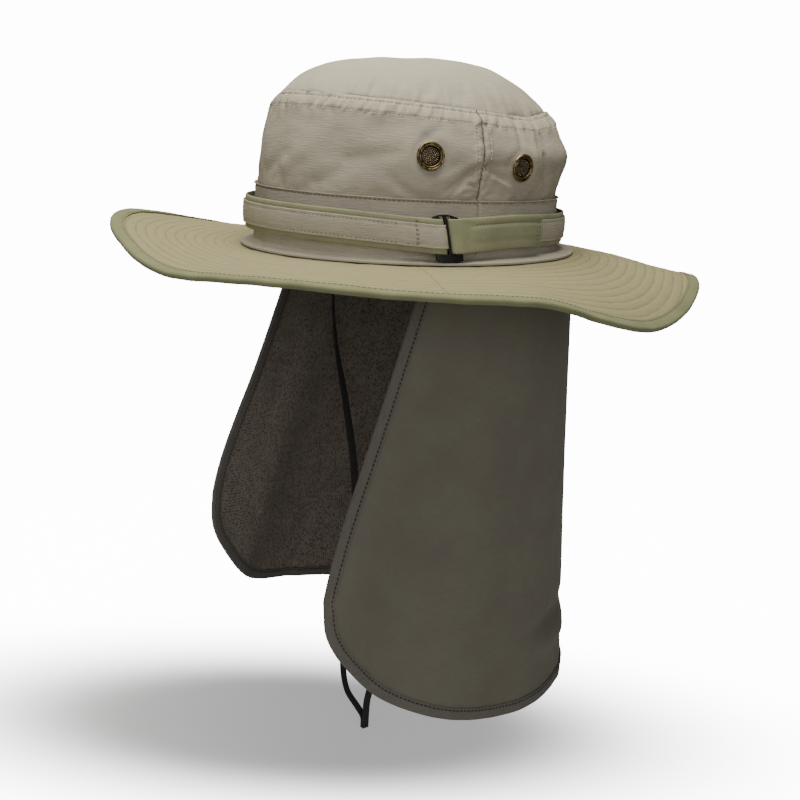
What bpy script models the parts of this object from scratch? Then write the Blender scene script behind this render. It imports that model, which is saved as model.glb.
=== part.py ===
"""A wide-brimmed sun hat with a neck flap, in the form it takes on a head.

The origin is the middle of the head opening, in the plane where the brim joins the crown.
+Z is up, the hat's front is towards -Y and the wearer's left towards +X. Lengths are in metres.
Angles run round the head from the front (0) over the wearer's left (90) to the back (180).
"""

import math

import bmesh
import bpy
from mathutils import Vector

# Head opening and cloth
HEAD_LENGTH = 0.1920
HEAD_WIDTH = 0.1570
CROWN_CLOTH = 0.0012
CLEARANCE = 0.0003
TAPE_CLEARANCE = 0.0005

# Crown
HEM_HEIGHT = 0.0370
HEM_BACK_DROP = 0.0025
HEM_LAP = 0.0060
CROWN_HEIGHT = 0.0845
PANEL_INSET = 0.0110
PANEL_BULGE = 0.0092
DOME_HEIGHT = 0.0265
DOME_FULLNESS = 3.4
SIDE_SEAM_ANGLE = 82.0
TOP_SEAM_GAP = 0.0008

# Flare of the base band onto the brim
FLARE_HEIGHT = 0.0056
FLARE_REACH_FRONT = 0.0072
FLARE_REACH_BACK = 0.0130

# Brim
BRIM_WIDTH = 0.0830
BRIM_CLOTH = 0.0018
BRIM_FLAT = 0.0150
BRIM_SEAM_ANGLE = 60.0
BINDING_WIDTH = 0.0062
BINDING_TAPE = 0.0006

# Hat band and its buckle
BAND_WIDTH = 0.0204
BAND_CLOTH = 0.0012
BAND_HEIGHT = 0.0210
BAND_BACK_DROP = 0.0045
BAND_STAND_OFF = 0.0045
BAND_SAG = 0.0025
BAND_SAG_REACH = 0.0450
STRIP_WIDTH = 0.0140
STRIP_CLOTH = 0.0008
TAIL_LENGTH = 0.0640
SEWN_END_LENGTH = 0.0200
BUCKLE_ANGLE = 69.5
BUCKLE_BAR = 0.0036
BUCKLE_CENTRE_BAR = 0.0020
BUCKLE_SLOT = 0.0034
BUCKLE_THICKNESS = 0.0022
BUCKLE_RIM = 0.0034
BUCKLE_CORNER_DROP = 0.0018
BUCKLE_LEAN = 8.5
BUCKLE_TILT = 9.0

# Eyelets
EYELET_RADIUS = 0.0078
EYELET_BORE = 0.0053
EYELET_BARREL = 0.0006
EYELET_FLANGE = 0.0011
MESH_DISC_THICKNESS = 0.0008

# Neck flap
FLAP_CLOTH = 0.0010
FLAP_ATTACH_FRONT = 0.0030
FLAP_ATTACH_BACK = 0.0150
FLAP_LEFT_ANGLE = 64.3
FLAP_RIGHT_ANGLE = 283.5
FLAP_HALF_WIDTH = 0.2500
FLAP_LENGTH = 0.2550
FLAP_FOLD_DEPTH = 0.0050
FLAP_RIGHT_BOW = 0.0030
FLAP_BINDING_START = 0.05
FLAP_BINDING_TURN = 0.012
FLAP_TAPE = 0.0006
FLAP_BINDING_WIDTH = 0.0070

# Chin strap
CHIN_STRAP_WIDTH = 0.0050
CHIN_STRAP_THICKNESS = 0.0015
CHIN_STRAP_STEP = 0.0090

# Facets
ROUND_STEPS = 48
BRIM_STEPS = 60
RADIAL_ROWS = 5
PANEL_ROWS = 5
DOME_RINGS = 4
FLAP_COLUMNS = 36
FLAP_ROWS = 8
EYELET_SIDES = 16

# The brim's edge round the head
BRIM_WAVE = (
    # angle, rise share of BRIM_WIDTH, reach share of BRIM_WIDTH
    (0, -0.005, 0.99),
    (10, -0.055, 1.00),
    (30, -0.025, 1.00),
    (50, -0.045, 1.00),
    (70, -0.075, 1.00),
    (80, -0.105, 1.00),
    (90, -0.205, 1.00),
    (100, -0.285, 1.00),
    (110, -0.325, 1.00),
    (120, -0.315, 1.01),
    (130, -0.255, 1.04),
    (137, -0.165, 1.07),
    (143, -0.125, 1.06),
    (152, -0.155, 1.03),
    (180, -0.185, 1.00),
    (220, -0.195, 1.00),
    (250, -0.175, 1.00),
    (270, -0.125, 1.00),
    (290, 0.005, 1.00),
    (310, 0.115, 1.00),
    (320, 0.145, 1.00),
    (335, 0.135, 0.98),
    (350, 0.075, 0.98),
)

# How the top seam rises and dips round the crown
CROWN_RISE = (
    # angle, rise of the top seam as a share of CROWN_HEIGHT
    (0, 0.062),
    (20, 0.060),
    (40, 0.049),
    (60, 0.028),
    (72, 0.012),
    (84, 0.000),
    (97, -0.019),
    (110, -0.036),
    (122, -0.019),
    (140, 0.000),
    (180, 0.000),
    (270, 0.009),
    (300, 0.017),
    (330, 0.031),
    (345, 0.052),
)

# Where the eyelets sit
EYELETS = (
    # angle, height
    (63.3, 0.0594),
    (98.9, 0.0542),
    (261.1, 0.0542),
    (296.7, 0.0594),
)

# Outline of a side panel
PANEL_PROFILE = (
    # height share, inset share of PANEL_INSET, bulge share of PANEL_BULGE
    (0.00, 0.00, 0.00),
    (0.25, 0.06, 0.60),
    (0.50, 0.22, 1.00),
    (0.72, 0.42, 0.52),
    (0.88, 0.64, 0.22),
    (1.00, 1.00, 0.04),
)

# Soft dents pressed into the side panels
PANEL_DENTS = (
    # angle, height share, depth, half width in degrees, half height share
    (74, 0.26, 0.0022, 7, 0.20),
    (90, 0.30, 0.0024, 6, 0.24),
    (114, 0.25, 0.0022, 8, 0.22),
    (30, 0.45, 0.0012, 14, 0.25),
    (150, 0.20, 0.0020, 10, 0.20),
    (215, 0.30, 0.0020, 12, 0.25),
    (268, 0.30, 0.0022, 7, 0.22),
    (330, 0.40, 0.0014, 15, 0.25),
)

# The flap's hem, from one front edge (-1) over the back (0) to the other (1)
FLAP_HEM = (
    # place, across, along, height
    (-1.00, -0.0740, -0.0870, -0.1660),
    (-0.95, -0.0760, -0.0860, -0.1880),
    (-0.88, -0.0830, -0.0730, -0.2100),
    (-0.78, -0.0920, -0.0550, -0.2300),
    (-0.65, -0.1020, -0.0330, -0.2430),
    (-0.50, -0.1080, -0.0030, -0.2500),
    (-0.35, -0.1040, 0.0380, -0.2540),
    (-0.20, -0.0850, 0.0740, -0.2540),
    (-0.10, -0.0470, 0.1010, -0.2540),
    (0.00, 0.0000, 0.1100, -0.2540),
    (0.10, 0.0490, 0.1020, -0.2550),
    (0.20, 0.0910, 0.0750, -0.2560),
    (0.35, 0.1070, 0.0380, -0.2610),
    (0.50, 0.1120, -0.0050, -0.2605),
    (0.65, 0.1090, -0.0420, -0.2535),
    (0.78, 0.0990, -0.0740, -0.2395),
    (0.88, 0.0885, -0.0945, -0.2190),
    (0.95, 0.0815, -0.1050, -0.2000),
    (1.00, 0.0760, -0.1040, -0.1820),
)

# Upright folds in the flap
FLAP_FOLDS = (
    # place, depth share of FLAP_FOLD_DEPTH, half width
    (-0.80, -0.7, 0.10),
    (-0.52, 0.8, 0.09),
    (-0.30, -0.7, 0.08),
    (-0.06, 0.8, 0.10),
    (0.20, -0.8, 0.09),
    (0.45, 0.7, 0.10),
    (0.78, -1.0, 0.10),
)

# The chin strap's two halves, from inside the head opening down to their joined ends
CHIN_STRAP_LEFT = (
    # across, along, height, plan direction of the tape's width in degrees
    (0.0771, 0.0000, 0.0060, 90),
    (0.0765, 0.0000, -0.0220, 90),
    (0.0720, -0.0010, -0.0600, 70),
    (0.0590, -0.0030, -0.1100, 50),
    (0.0420, -0.0060, -0.1650, 50),
    (0.0250, -0.0090, -0.2200, 55),
    (0.0080, -0.0115, -0.2700, 70),
    (-0.0006, -0.0120, -0.2980, 82),
    (-0.0014, -0.0120, -0.3090, 90),
    (-0.0014, -0.0120, -0.3190, 90),
)
CHIN_STRAP_RIGHT = (
    # across, along, height, plan direction of the tape's width in degrees
    (-0.0771, 0.0000, 0.0060, 90),
    (-0.0760, 0.0000, -0.0250, 120),
    (-0.0745, -0.0005, -0.0430, 135),
    (-0.0670, -0.0020, -0.0720, 120),
    (-0.0526, -0.0030, -0.1070, 85),
    (-0.0390, -0.0040, -0.1450, 60),
    (-0.0315, -0.0050, -0.1850, 50),
    (-0.0305, -0.0060, -0.2200, 50),
    (-0.0335, -0.0080, -0.2580, 70),
    (-0.0320, -0.0100, -0.2860, 95),
    (-0.0245, -0.0115, -0.3010, 110),
    (-0.0110, -0.0120, -0.3080, 105),
    (-0.0040, -0.0120, -0.3120, 95),
    (-0.0032, -0.0120, -0.3190, 90),
)

COLOURS = {
    # name: colour, roughness, metallic
    "khaki_cloth": ((0.37, 0.34, 0.27, 1), 0.85, 0.0),
    "olive_tape": ((0.19, 0.19, 0.12, 1), 0.85, 0.0),
    "flap_cloth": ((0.075, 0.066, 0.050, 1), 0.80, 0.0),
    "antique_brass": ((0.30, 0.22, 0.10, 1), 0.40, 1.0),
    "eyelet_mesh": ((0.04, 0.035, 0.03, 1), 0.60, 0.3),
    "buckle_plastic": ((0.012, 0.012, 0.012, 1), 0.40, 0.0),
    "chin_tape": ((0.040, 0.037, 0.032, 1), 0.85, 0.0),
}


def read_table(rows, place, column, period=None):
    """Value of a column between the rows of a table, on a smooth curve through them."""
    if period:
        place = place % period
        rows = (
            [(rows[-1][0] - period, *rows[-1][1:])]
            + list(rows)
            + [(rows[0][0] + period, *rows[0][1:]), (rows[1][0] + period, *rows[1][1:])]
        )
    last = len(rows) - 2
    index = max(i for i in range(last + 1) if i == 0 or rows[i][0] <= place)
    before, low, high, after = (rows[max(0, min(last + 1, index + k))] for k in (-1, 0, 1, 2))
    span = high[0] - low[0]
    share = min(1.0, max(0.0, (place - low[0]) / span))
    slope_low = (high[column] - before[column]) / max(high[0] - before[0], span) * span
    slope_high = (after[column] - low[column]) / max(after[0] - low[0], span) * span
    square, cube = share**2, share**3
    return (
        (2 * cube - 3 * square + 1) * low[column]
        + (cube - 2 * square + share) * slope_low
        + (3 * square - 2 * cube) * high[column]
        + (cube - square) * slope_high
    )


def bell(offset, half_width):
    """A smooth hill, 1 in the middle."""
    return math.exp(-((offset / half_width) ** 2))


def backness(angle):
    """0 at the front of the hat, 1 at the back."""
    return 0.5 - 0.5 * math.cos(math.radians(angle))


def turn_between(angle, middle):
    """Signed degrees from one angle to another, the short way round."""
    return (angle - middle + 180) % 360 - 180


def oval(angle, grow, height=0.0):
    """A point of the head oval at this angle, pushed out square to it by grow."""
    turn = math.radians(angle)
    x, y = HEAD_WIDTH / 2 * math.sin(turn), -HEAD_LENGTH / 2 * math.cos(turn)
    normal = Vector((x / HEAD_WIDTH**2, y / HEAD_LENGTH**2, 0)).normalized()
    return Vector((x, y, height)) + normal * grow


def flare_reach(angle):
    """How far the base band's flare comes out over the brim."""
    return FLARE_REACH_FRONT + (FLARE_REACH_BACK - FLARE_REACH_FRONT) * backness(angle)


def brim_top(angle, reach):
    """Height of the brim's upper face at a share of its width from the head oval."""
    rise = read_table(BRIM_WAVE, angle, 1, 360) * BRIM_WIDTH
    flat = BRIM_FLAT / BRIM_WIDTH
    out = max(0.0, reach - flat) / (1 - flat)
    return rise * (0.35 * out + 0.65 * out**2) + BRIM_CLOTH / 2


def brim_point(angle, reach):
    """A point of the brim's upper face, from the head oval (0) to the cut edge (1)."""
    width = BRIM_WIDTH * (1 + (read_table(BRIM_WAVE, angle, 2, 360) - 1) * reach)
    return oval(angle, width * reach, brim_top(angle, reach))


def hem_height(angle):
    """Height of the base band's upper edge, which is sewn over the side panels."""
    return HEM_HEIGHT - HEM_BACK_DROP * backness(angle)


def seam_height(angle):
    """Height of the top seam, higher at the front and lowest behind the wearer's left."""
    return CROWN_HEIGHT * (1 + read_table(CROWN_RISE, angle, 1, 360))


def panel_point(angle, share):
    """A point of a side panel's outer face, from the base band's upper edge (0) to the top seam (1).

    A share below 0 is the panel's lap inside the base band.
    """
    low = hem_height(angle)
    inset = read_table(PANEL_PROFILE, share, 1) * PANEL_INSET
    bulge = read_table(PANEL_PROFILE, share, 2) * PANEL_BULGE * (0.15 + 0.85 * backness(angle))
    dent = sum(
        depth * bell(turn_between(angle, at), wide) * bell(share - up, tall)
        for at, up, depth, wide, tall in PANEL_DENTS
    )
    dent *= max(0.0, 4 * share * (1 - share))
    return oval(angle, bulge - inset - dent - CLEARANCE, low + (seam_height(angle) - low) * share)


def dome_point(angle, share):
    """A point of the top panel, from the seam (0) to its middle (1)."""
    edge = panel_point(angle, 1.0)
    middle = Vector((0, 0, edge.z))
    reach = (edge - middle).length
    start = 1 - TOP_SEAM_GAP / reach
    out = middle + (edge - middle) * start * (1 - share)
    rise = CROWN_HEIGHT + DOME_HEIGHT - edge.z
    out.z += TOP_SEAM_GAP + rise * (1 - (1 - share) ** DOME_FULLNESS)
    return out


def base_point(angle, share):
    """A point of the base band's outer face, from its upper edge (0) to the flare's edge (1)."""
    top = hem_height(angle)
    straight = 0.55
    if share <= straight:
        return oval(angle, CROWN_CLOTH, top + (FLARE_HEIGHT - top) * share / straight)
    bend = (share - straight) / (1 - straight) * math.pi / 2
    reach = flare_reach(angle) * (1 - math.cos(bend))
    foot = brim_top(angle, flare_reach(angle) / BRIM_WIDTH) + CROWN_CLOTH + CLEARANCE
    height = foot + (FLARE_HEIGHT - foot) * (1 - math.sin(bend))
    return oval(angle, CROWN_CLOTH + reach, height)


def finish(mesh, name, colour, sharp=40):
    """Turns mesh data into a named, smooth-shaded object with its material."""
    mesh.shade_smooth()
    mesh.set_sharp_from_angle(angle=math.radians(sharp))
    thing = bpy.data.objects.new(name, mesh)
    bpy.context.scene.collection.objects.link(thing)
    mesh.materials.append(bpy.data.materials[colour])
    return thing


def grid_mesh(name, columns, closed):
    """A mesh of quads through columns of points, which wrap round if closed."""
    build = bmesh.new()
    made = [[build.verts.new(point) for point in column] for column in columns]
    pairs = list(zip(made, made[1:]))
    if closed:
        pairs.append((made[-1], made[0]))
    for left, right in pairs:
        for row in range(len(left) - 1):
            build.faces.new((left[row], left[row + 1], right[row + 1], right[row]))
    mesh = bpy.data.meshes.new(name)
    build.to_mesh(mesh)
    build.free()
    return mesh


def thicken(thing, thickness, offset):
    """Gives a sheet its thickness. Offset -1 adds it behind the outer face, and 0 on both sides."""
    wall = thing.modifiers.new("wall", "SOLIDIFY")
    wall.thickness = thickness
    wall.offset = offset
    wall.use_even_offset = True
    return thing


def shell(name, point, angles, shares, colour, thickness, closed=False):
    """A cloth wall whose outer face is point(angle, share), with its rows from top to bottom."""
    columns = [[point(angle, share) for share in shares] for angle in angles]
    mesh = grid_mesh(name, columns, closed)
    return thicken(finish(mesh, name, colour), thickness, -1)


def spread(start, end, steps):
    """Evenly spaced values from start to end, both included."""
    return [start + (end - start) * i / steps for i in range(steps + 1)]


def round_angles(steps):
    return spread(0, 360, steps)[:-1]


def make_materials():
    for name, (colour, roughness, metallic) in COLOURS.items():
        material = bpy.data.materials.new(name)
        material.use_nodes = True
        shader = material.node_tree.nodes["Principled BSDF"]
        shader.inputs["Base Color"].default_value = colour
        shader.inputs["Roughness"].default_value = roughness
        shader.inputs["Metallic"].default_value = metallic


def make_crown():
    """Top panel, two side panels that meet at the side seams, and the base band with its flare."""
    half_gap = math.degrees(CLEARANCE / HEAD_LENGTH)
    left, right = SIDE_SEAM_ANGLE, 360 - SIDE_SEAM_ANGLE
    lap = -HEM_LAP / (CROWN_HEIGHT - HEM_HEIGHT)
    rows = spread(1, 0, PANEL_ROWS) + [lap]
    front_angles = spread(right - 360 + half_gap, left - half_gap, ROUND_STEPS // 2 - 2)
    back_angles = spread(left + half_gap, right - half_gap, ROUND_STEPS // 2 + 2)
    front = shell("side_panel_front", panel_point, front_angles, rows, "khaki_cloth", CROWN_CLOTH)
    back = shell("side_panel_back", panel_point, back_angles, rows, "khaki_cloth", CROWN_CLOTH)
    base_rows = (0.0, 0.28, 0.55, 0.70, 0.85, 1.0)
    shell("base_band", base_point, round_angles(ROUND_STEPS), base_rows, "khaki_cloth", CROWN_CLOTH, True)
    make_top_panel()
    return front, back


def make_top_panel():
    shares = spread(1, 0, DOME_RINGS)[1:]
    columns = [[dome_point(angle, share) for share in shares] for angle in round_angles(ROUND_STEPS)]
    mesh = grid_mesh("top_panel", columns, True)
    build = bmesh.new()
    build.from_mesh(mesh)
    middle = build.verts.new(dome_point(0, 1.0))
    build.verts.ensure_lookup_table()
    ring = [build.verts[i * DOME_RINGS] for i in range(ROUND_STEPS)]
    for here, after in zip(ring, ring[1:] + ring[:1]):
        build.faces.new((middle, here, after))
    build.to_mesh(mesh)
    build.free()
    thicken(finish(mesh, "top_panel", "khaki_cloth"), CROWN_CLOTH, -1)


def make_brim():
    """Two halves of stiffened cloth that meet at the brim seams, and the tape round the edge."""
    half_gap = math.degrees(CLEARANCE / HEAD_LENGTH)
    start, end = BRIM_SEAM_ANGLE, BRIM_SEAM_ANGLE + 180
    bound = 1 - BINDING_WIDTH / BRIM_WIDTH
    shares = [0.0] + spread(BRIM_FLAT / BRIM_WIDTH, bound, RADIAL_ROWS - 2) + [1.0]
    halves = (("brim_back_half", start, end), ("brim_front_half", end, start + 360))
    for name, low, high in halves:
        angles = spread(low + half_gap, high - half_gap, BRIM_STEPS // 2)
        shell(name, brim_point, angles, shares, "khaki_cloth", BRIM_CLOTH)
    loops = []
    for angle in round_angles(BRIM_STEPS):
        edge, inner = brim_point(angle, 1.0), brim_point(angle, bound)
        along = brim_point(angle + 1, 1.0) - brim_point(angle - 1, 1.0)
        up = (edge - inner).cross(along).normalized()
        sink = up * BRIM_CLOTH / 2
        loops.append(folded_tape(edge - sink, inner - sink, up, BRIM_CLOTH, BINDING_TAPE))
    sweep("brim_binding", loops, "olive_tape", closed=True)


def folded_tape(edge, inner, side, cloth, tape):
    """The outline of a tape folded over a cut edge, from the edge to an inner line on the cloth's middle."""
    out = (edge - inner).normalized()
    inside = side * (cloth / 2 + TAPE_CLEARANCE)
    outside = side * (cloth / 2 + TAPE_CLEARANCE + tape)
    lip = edge + out * TAPE_CLEARANCE
    return (
        inner + outside,
        lip + outside,
        lip + out * tape,
        lip - outside,
        inner - outside,
        inner - inside,
        lip - inside,
        lip + inside,
        inner + inside,
    )


def sweep(name, loops, colour, closed=False):
    """A solid through outlines of equal length, which wrap round if closed."""
    build = bmesh.new()
    made = [[build.verts.new(point) for point in loop] for loop in loops]
    pairs = list(zip(made, made[1:]))
    if closed:
        pairs.append((made[-1], made[0]))
    else:
        build.faces.new(made[0])
        build.faces.new(reversed(made[-1]))
    for one, other in pairs:
        for k in range(len(one)):
            after = (k + 1) % len(one)
            build.faces.new((one[k], other[k], other[after], one[after]))
    bmesh.ops.recalc_face_normals(build, faces=build.faces)
    mesh = bpy.data.meshes.new(name)
    build.to_mesh(mesh)
    build.free()
    return finish(mesh, name, colour)


def band_speed():
    """Metres along the head oval for each radian of angle, at the buckle."""
    return (oval(BUCKLE_ANGLE + 0.5, 0) - oval(BUCKLE_ANGLE - 0.5, 0)).length / math.radians(1)


def band_place(along, out, up):
    """A point near the band: along it from the buckle, out from the base band and up from its middle.

    The band stands off the crown at the front and the back. Towards the buckle it sags, leans and
    tilts out over the flare.
    """
    nearest = min(abs(along), abs(along + band_speed() * 2 * math.pi))
    close = bell(nearest, BAND_SAG_REACH)
    closer = bell(nearest, BAND_SAG_REACH / 2)
    lean = math.tan(math.radians(BUCKLE_LEAN)) * up * closer
    tilt = math.tan(math.radians(BUCKLE_TILT)) * (BAND_WIDTH / 2 - up) * closer
    angle = BUCKLE_ANGLE + math.degrees((along - lean) / band_speed())
    stand_off = BAND_STAND_OFF * (0.5 + 0.5 * math.cos(math.radians(2 * angle)))
    height = BAND_HEIGHT - BAND_BACK_DROP * backness(angle) - BAND_SAG * close
    return oval(angle, CROWN_CLOTH + stand_off + tilt + out, height + up)


def band_levels():
    """Heights of the layers over the base band: under layer, sewn-over layer, tail and buckle middle."""
    under = CLEARANCE + BAND_CLOTH / 2
    over = under + BAND_CLOTH + CLEARANCE
    tail = over + STRIP_CLOTH + CLEARANCE
    buckle = CLEARANCE * 2 + BAND_CLOTH + BUCKLE_THICKNESS / 2
    return under, over, tail, buckle


def turn_round_bar(side, radius, middle):
    """The band's way round an outer bar of the buckle, from the under layer to the outer one."""
    centre = BUCKLE_CENTRE_BAR / 2 + BUCKLE_SLOT + CLEARANCE
    steps = 8
    return [
        (side * (centre - radius * math.sin(math.pi * i / steps)), middle - radius * math.cos(math.pi * i / steps))
        for i in range(steps + 1)
    ]


def band_round(front, rear):
    """Distances along the band past the front to the buckle's other side, at the base band's own angles.

    They leave front free before the buckle and rear after it.
    """
    whole = 2 * math.pi * band_speed()
    places = []
    for turn in (0, 360):
        for angle in reversed(round_angles(ROUND_STEPS)):
            places.append(math.radians(angle - turn - BUCKLE_ANGLE) * band_speed())
    return whole, [place for place in places if rear - whole < place < -front]


def bar_end():
    """Where the band clears the buckle's outer bar."""
    return BUCKLE_CENTRE_BAR / 2 + BUCKLE_SLOT + BUCKLE_BAR + CLEARANCE * 2


def band_route():
    """The webbing's way: sewn end, front bar, once round the head, rear bar, tail."""
    under, over, tail, buckle = band_levels()
    radius = buckle - under
    top = buckle + radius
    end = bar_end()
    sewn = SEWN_END_LENGTH
    whole, way = band_round(sewn + 0.010, sewn * 0.6 + 0.004)
    route = [(-sewn, under), (-sewn * 0.6, under)]
    route += turn_round_bar(-1, radius, buckle)
    route += [(-end, top), (-end - 0.004, over + (top - over) * 0.25), (-end - 0.007, over)]
    route += [(-sewn - 0.001, over), (-sewn - 0.006, under)]
    route += [(place, under) for place in way]
    route += [(-whole + sewn * 0.6, under)]
    route += [(-whole + place, out) for place, out in turn_round_bar(1, radius, buckle)]
    route += [(-whole + end, top), (-whole + end + 0.004, tail + (top - tail) * 0.25)]
    route += [(-whole + place, tail) for place in spread(end + 0.007, TAIL_LENGTH, 6)]
    return route


def strip_route():
    """The khaki strip's way over the webbing, from the fold at the front bar to under the tail."""
    under, over, tail, buckle = band_levels()
    lift = (BAND_CLOTH + STRIP_CLOTH) / 2 + CLEARANCE
    radius = buckle - under
    top = buckle + radius
    end = bar_end()
    sewn = SEWN_END_LENGTH
    whole, way = band_round(sewn + 0.010, sewn * 0.9 + 0.004)
    route = turn_round_bar(-1, radius + lift, buckle)[5:]
    route += [(-end, top + lift), (-end - 0.0045, over + lift + (top - over) * 0.25)]
    route += [(-end - 0.0075, over + lift), (-sewn - 0.0015, over + lift), (-sewn - 0.0065, under + lift)]
    route += [(place, under + lift) for place in way]
    route += [(-whole + sewn * 0.9, under + lift)]
    return route


def ribbon(name, route, width, thickness, colour):
    """A flat band on edge that follows a route along and out from the base band."""
    columns = [[band_place(along, out, -width / 2), band_place(along, out, width / 2)] for along, out in route]
    mesh = grid_mesh(name, columns, False)
    return thicken(finish(mesh, name, colour), thickness, 0)


def make_band():
    ribbon("band_webbing", band_route(), BAND_WIDTH, BAND_CLOTH, "olive_tape")
    ribbon("band_strip", strip_route(), STRIP_WIDTH, STRIP_CLOTH, "khaki_cloth")
    make_buckle()


def make_buckle():
    """A flat slider with three bars, a plate with two slots that follows the curve of the crown."""
    slot = BUCKLE_CENTRE_BAR / 2 + BUCKLE_SLOT
    end = slot + BUCKLE_BAR
    columns = (-end, -slot - BUCKLE_BAR / 2, -slot, -BUCKLE_CENTRE_BAR / 2, 0)
    columns += tuple(-place for place in reversed(columns[:-1]))
    opening = BAND_WIDTH / 2 + CLEARANCE * 2
    middle = band_levels()[3]
    build = bmesh.new()
    made = []
    for place in columns:
        rim = opening + BUCKLE_RIM - BUCKLE_CORNER_DROP * (place / end) ** 2
        heights = (-rim, -opening, opening, rim)
        made.append([build.verts.new(band_place(place, middle, height)) for height in heights])
    for left, right, place in zip(made, made[1:], columns):
        in_slot = place in (-slot, BUCKLE_CENTRE_BAR / 2)
        for row in (0, 2) if in_slot else (0, 1, 2):
            build.faces.new((left[row], right[row], right[row + 1], left[row + 1]))
    mesh = bpy.data.meshes.new("band_buckle")
    build.to_mesh(mesh)
    build.free()
    buckle = thicken(finish(mesh, "band_buckle", "buckle_plastic"), BUCKLE_THICKNESS, 0)
    edge = buckle.modifiers.new("rounded_edges", "BEVEL")
    edge.width = BUCKLE_THICKNESS * 0.2
    edge.segments = 1
    edge.limit_method = "ANGLE"


def eyelet_frame(angle, height):
    """The middle of an eyelet on the panel's outer face, and the panel's outward direction there."""
    low = hem_height(angle)
    share = (height - low) / (seam_height(angle) - low)
    place = panel_point(angle, share)
    round_way = panel_point(angle + 1, share) - panel_point(angle - 1, share)
    upward = panel_point(angle, share + 0.05) - panel_point(angle, share - 0.05)
    return place, round_way.cross(upward).normalized()


def turned(name, profile, frame, colour):
    """A solid turned about an eyelet's axis, from pairs of radius and height over the panel."""
    place, out = frame
    turn = out.to_track_quat("Z", "Y")
    build = bmesh.new()
    rings = []
    for i in range(EYELET_SIDES):
        angle = 2 * math.pi * i / EYELET_SIDES
        around = Vector((math.cos(angle), math.sin(angle), 0))
        points = [place + turn @ (around * radius + Vector((0, 0, height))) for radius, height in profile]
        rings.append([build.verts.new(point) for point in points])
    for one, other in zip(rings, rings[1:] + rings[:1]):
        for k in range(len(profile)):
            after = (k + 1) % len(profile)
            build.faces.new((one[k], other[k], other[after], one[after]))
    bmesh.ops.recalc_face_normals(build, faces=build.faces)
    mesh = bpy.data.meshes.new(name)
    build.to_mesh(mesh)
    build.free()
    return finish(mesh, name, colour)


def disc(name, radius, low, high, frame, colour):
    """A short round plug on an eyelet's axis."""
    place, out = frame
    build = bmesh.new()
    bmesh.ops.create_cone(
        build, cap_ends=True, segments=EYELET_SIDES, radius1=radius, radius2=radius, depth=high - low
    )
    mesh = bpy.data.meshes.new(name)
    build.to_mesh(mesh)
    build.free()
    thing = finish(mesh, name, colour)
    thing.rotation_mode = "QUATERNION"
    thing.rotation_quaternion = out.to_track_quat("Z", "Y")
    thing.location = place + out * (low + high) / 2
    return thing


def make_eyelets(front, back):
    """Four vents: a brass ring through a hole in the panel, and a disc of mesh held in its bore."""
    barrel = EYELET_BORE + EYELET_BARREL
    seat = CLEARANCE + EYELET_RADIUS**2 / HEAD_LENGTH
    depth = CROWN_CLOTH + CLEARANCE
    profile = (
        (EYELET_BORE, seat + EYELET_FLANGE * 0.6),
        (EYELET_BORE + 0.0006, seat + EYELET_FLANGE),
        (EYELET_RADIUS - 0.0009, seat + EYELET_FLANGE * 0.8),
        (EYELET_RADIUS, seat),
        (barrel, seat),
        (barrel, -depth),
        (EYELET_BORE, -depth),
    )
    for number, (angle, height) in enumerate(EYELETS, 1):
        frame = eyelet_frame(angle, height)
        turned(f"eyelet_ring_{number}", profile, frame, "antique_brass")
        radius = EYELET_BORE - CLEARANCE
        disc(f"eyelet_mesh_{number}", radius, 0, MESH_DISC_THICKNESS, frame, "eyelet_mesh")
        hole = barrel + CLEARANCE
        cutter = disc(f"eyelet_cutter_{number}", hole, -EYELET_RADIUS, EYELET_RADIUS, frame, "khaki_cloth")
        cutter.hide_render = True
        cutter.display_type = "WIRE"
        panel = front if abs(turn_between(angle, 0)) < SIDE_SEAM_ANGLE else back
        cut = panel.modifiers.new(f"eyelet_hole_{number}", "BOOLEAN")
        cut.operation = "DIFFERENCE"
        cut.object = cutter


def flap_point(place, share):
    """A point of the flap's middle sheet, from under the brim (0) to the hem (1)."""
    front = FLAP_LEFT_ANGLE if place > 0 else FLAP_RIGHT_ANGLE
    angle = 180 + (front - 180) * abs(place)
    attach = FLAP_ATTACH_FRONT + (FLAP_ATTACH_BACK - FLAP_ATTACH_FRONT) * (1 - place**2)
    under_brim = brim_top(angle, attach / BRIM_WIDTH) - BRIM_CLOTH - CLEARANCE * 3
    top = oval(angle, attach, under_brim)
    hem = Vector([read_table(FLAP_HEM, place, column) for column in (1, 2, 3)])
    fold = sum(deep * bell(place - at, wide) for at, deep, wide in FLAP_FOLDS) * FLAP_FOLD_DEPTH
    bow = FLAP_RIGHT_BOW * bell(1 + place, 0.14) * share**4 * (1 - share) / 0.082
    outward = oval(angle, 1.0) - oval(angle, 0.0)
    return top.lerp(hem, share) + outward * fold * share - Vector((0, bow, 0))


def flap_outward(place, share):
    """The flap's outward side at a place."""
    step = 0.01
    across = flap_point(min(1, place + step), share) - flap_point(max(-1, place - step), share)
    down = flap_point(place, share) - flap_point(place, share - step)
    return down.cross(across).normalized()


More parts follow.
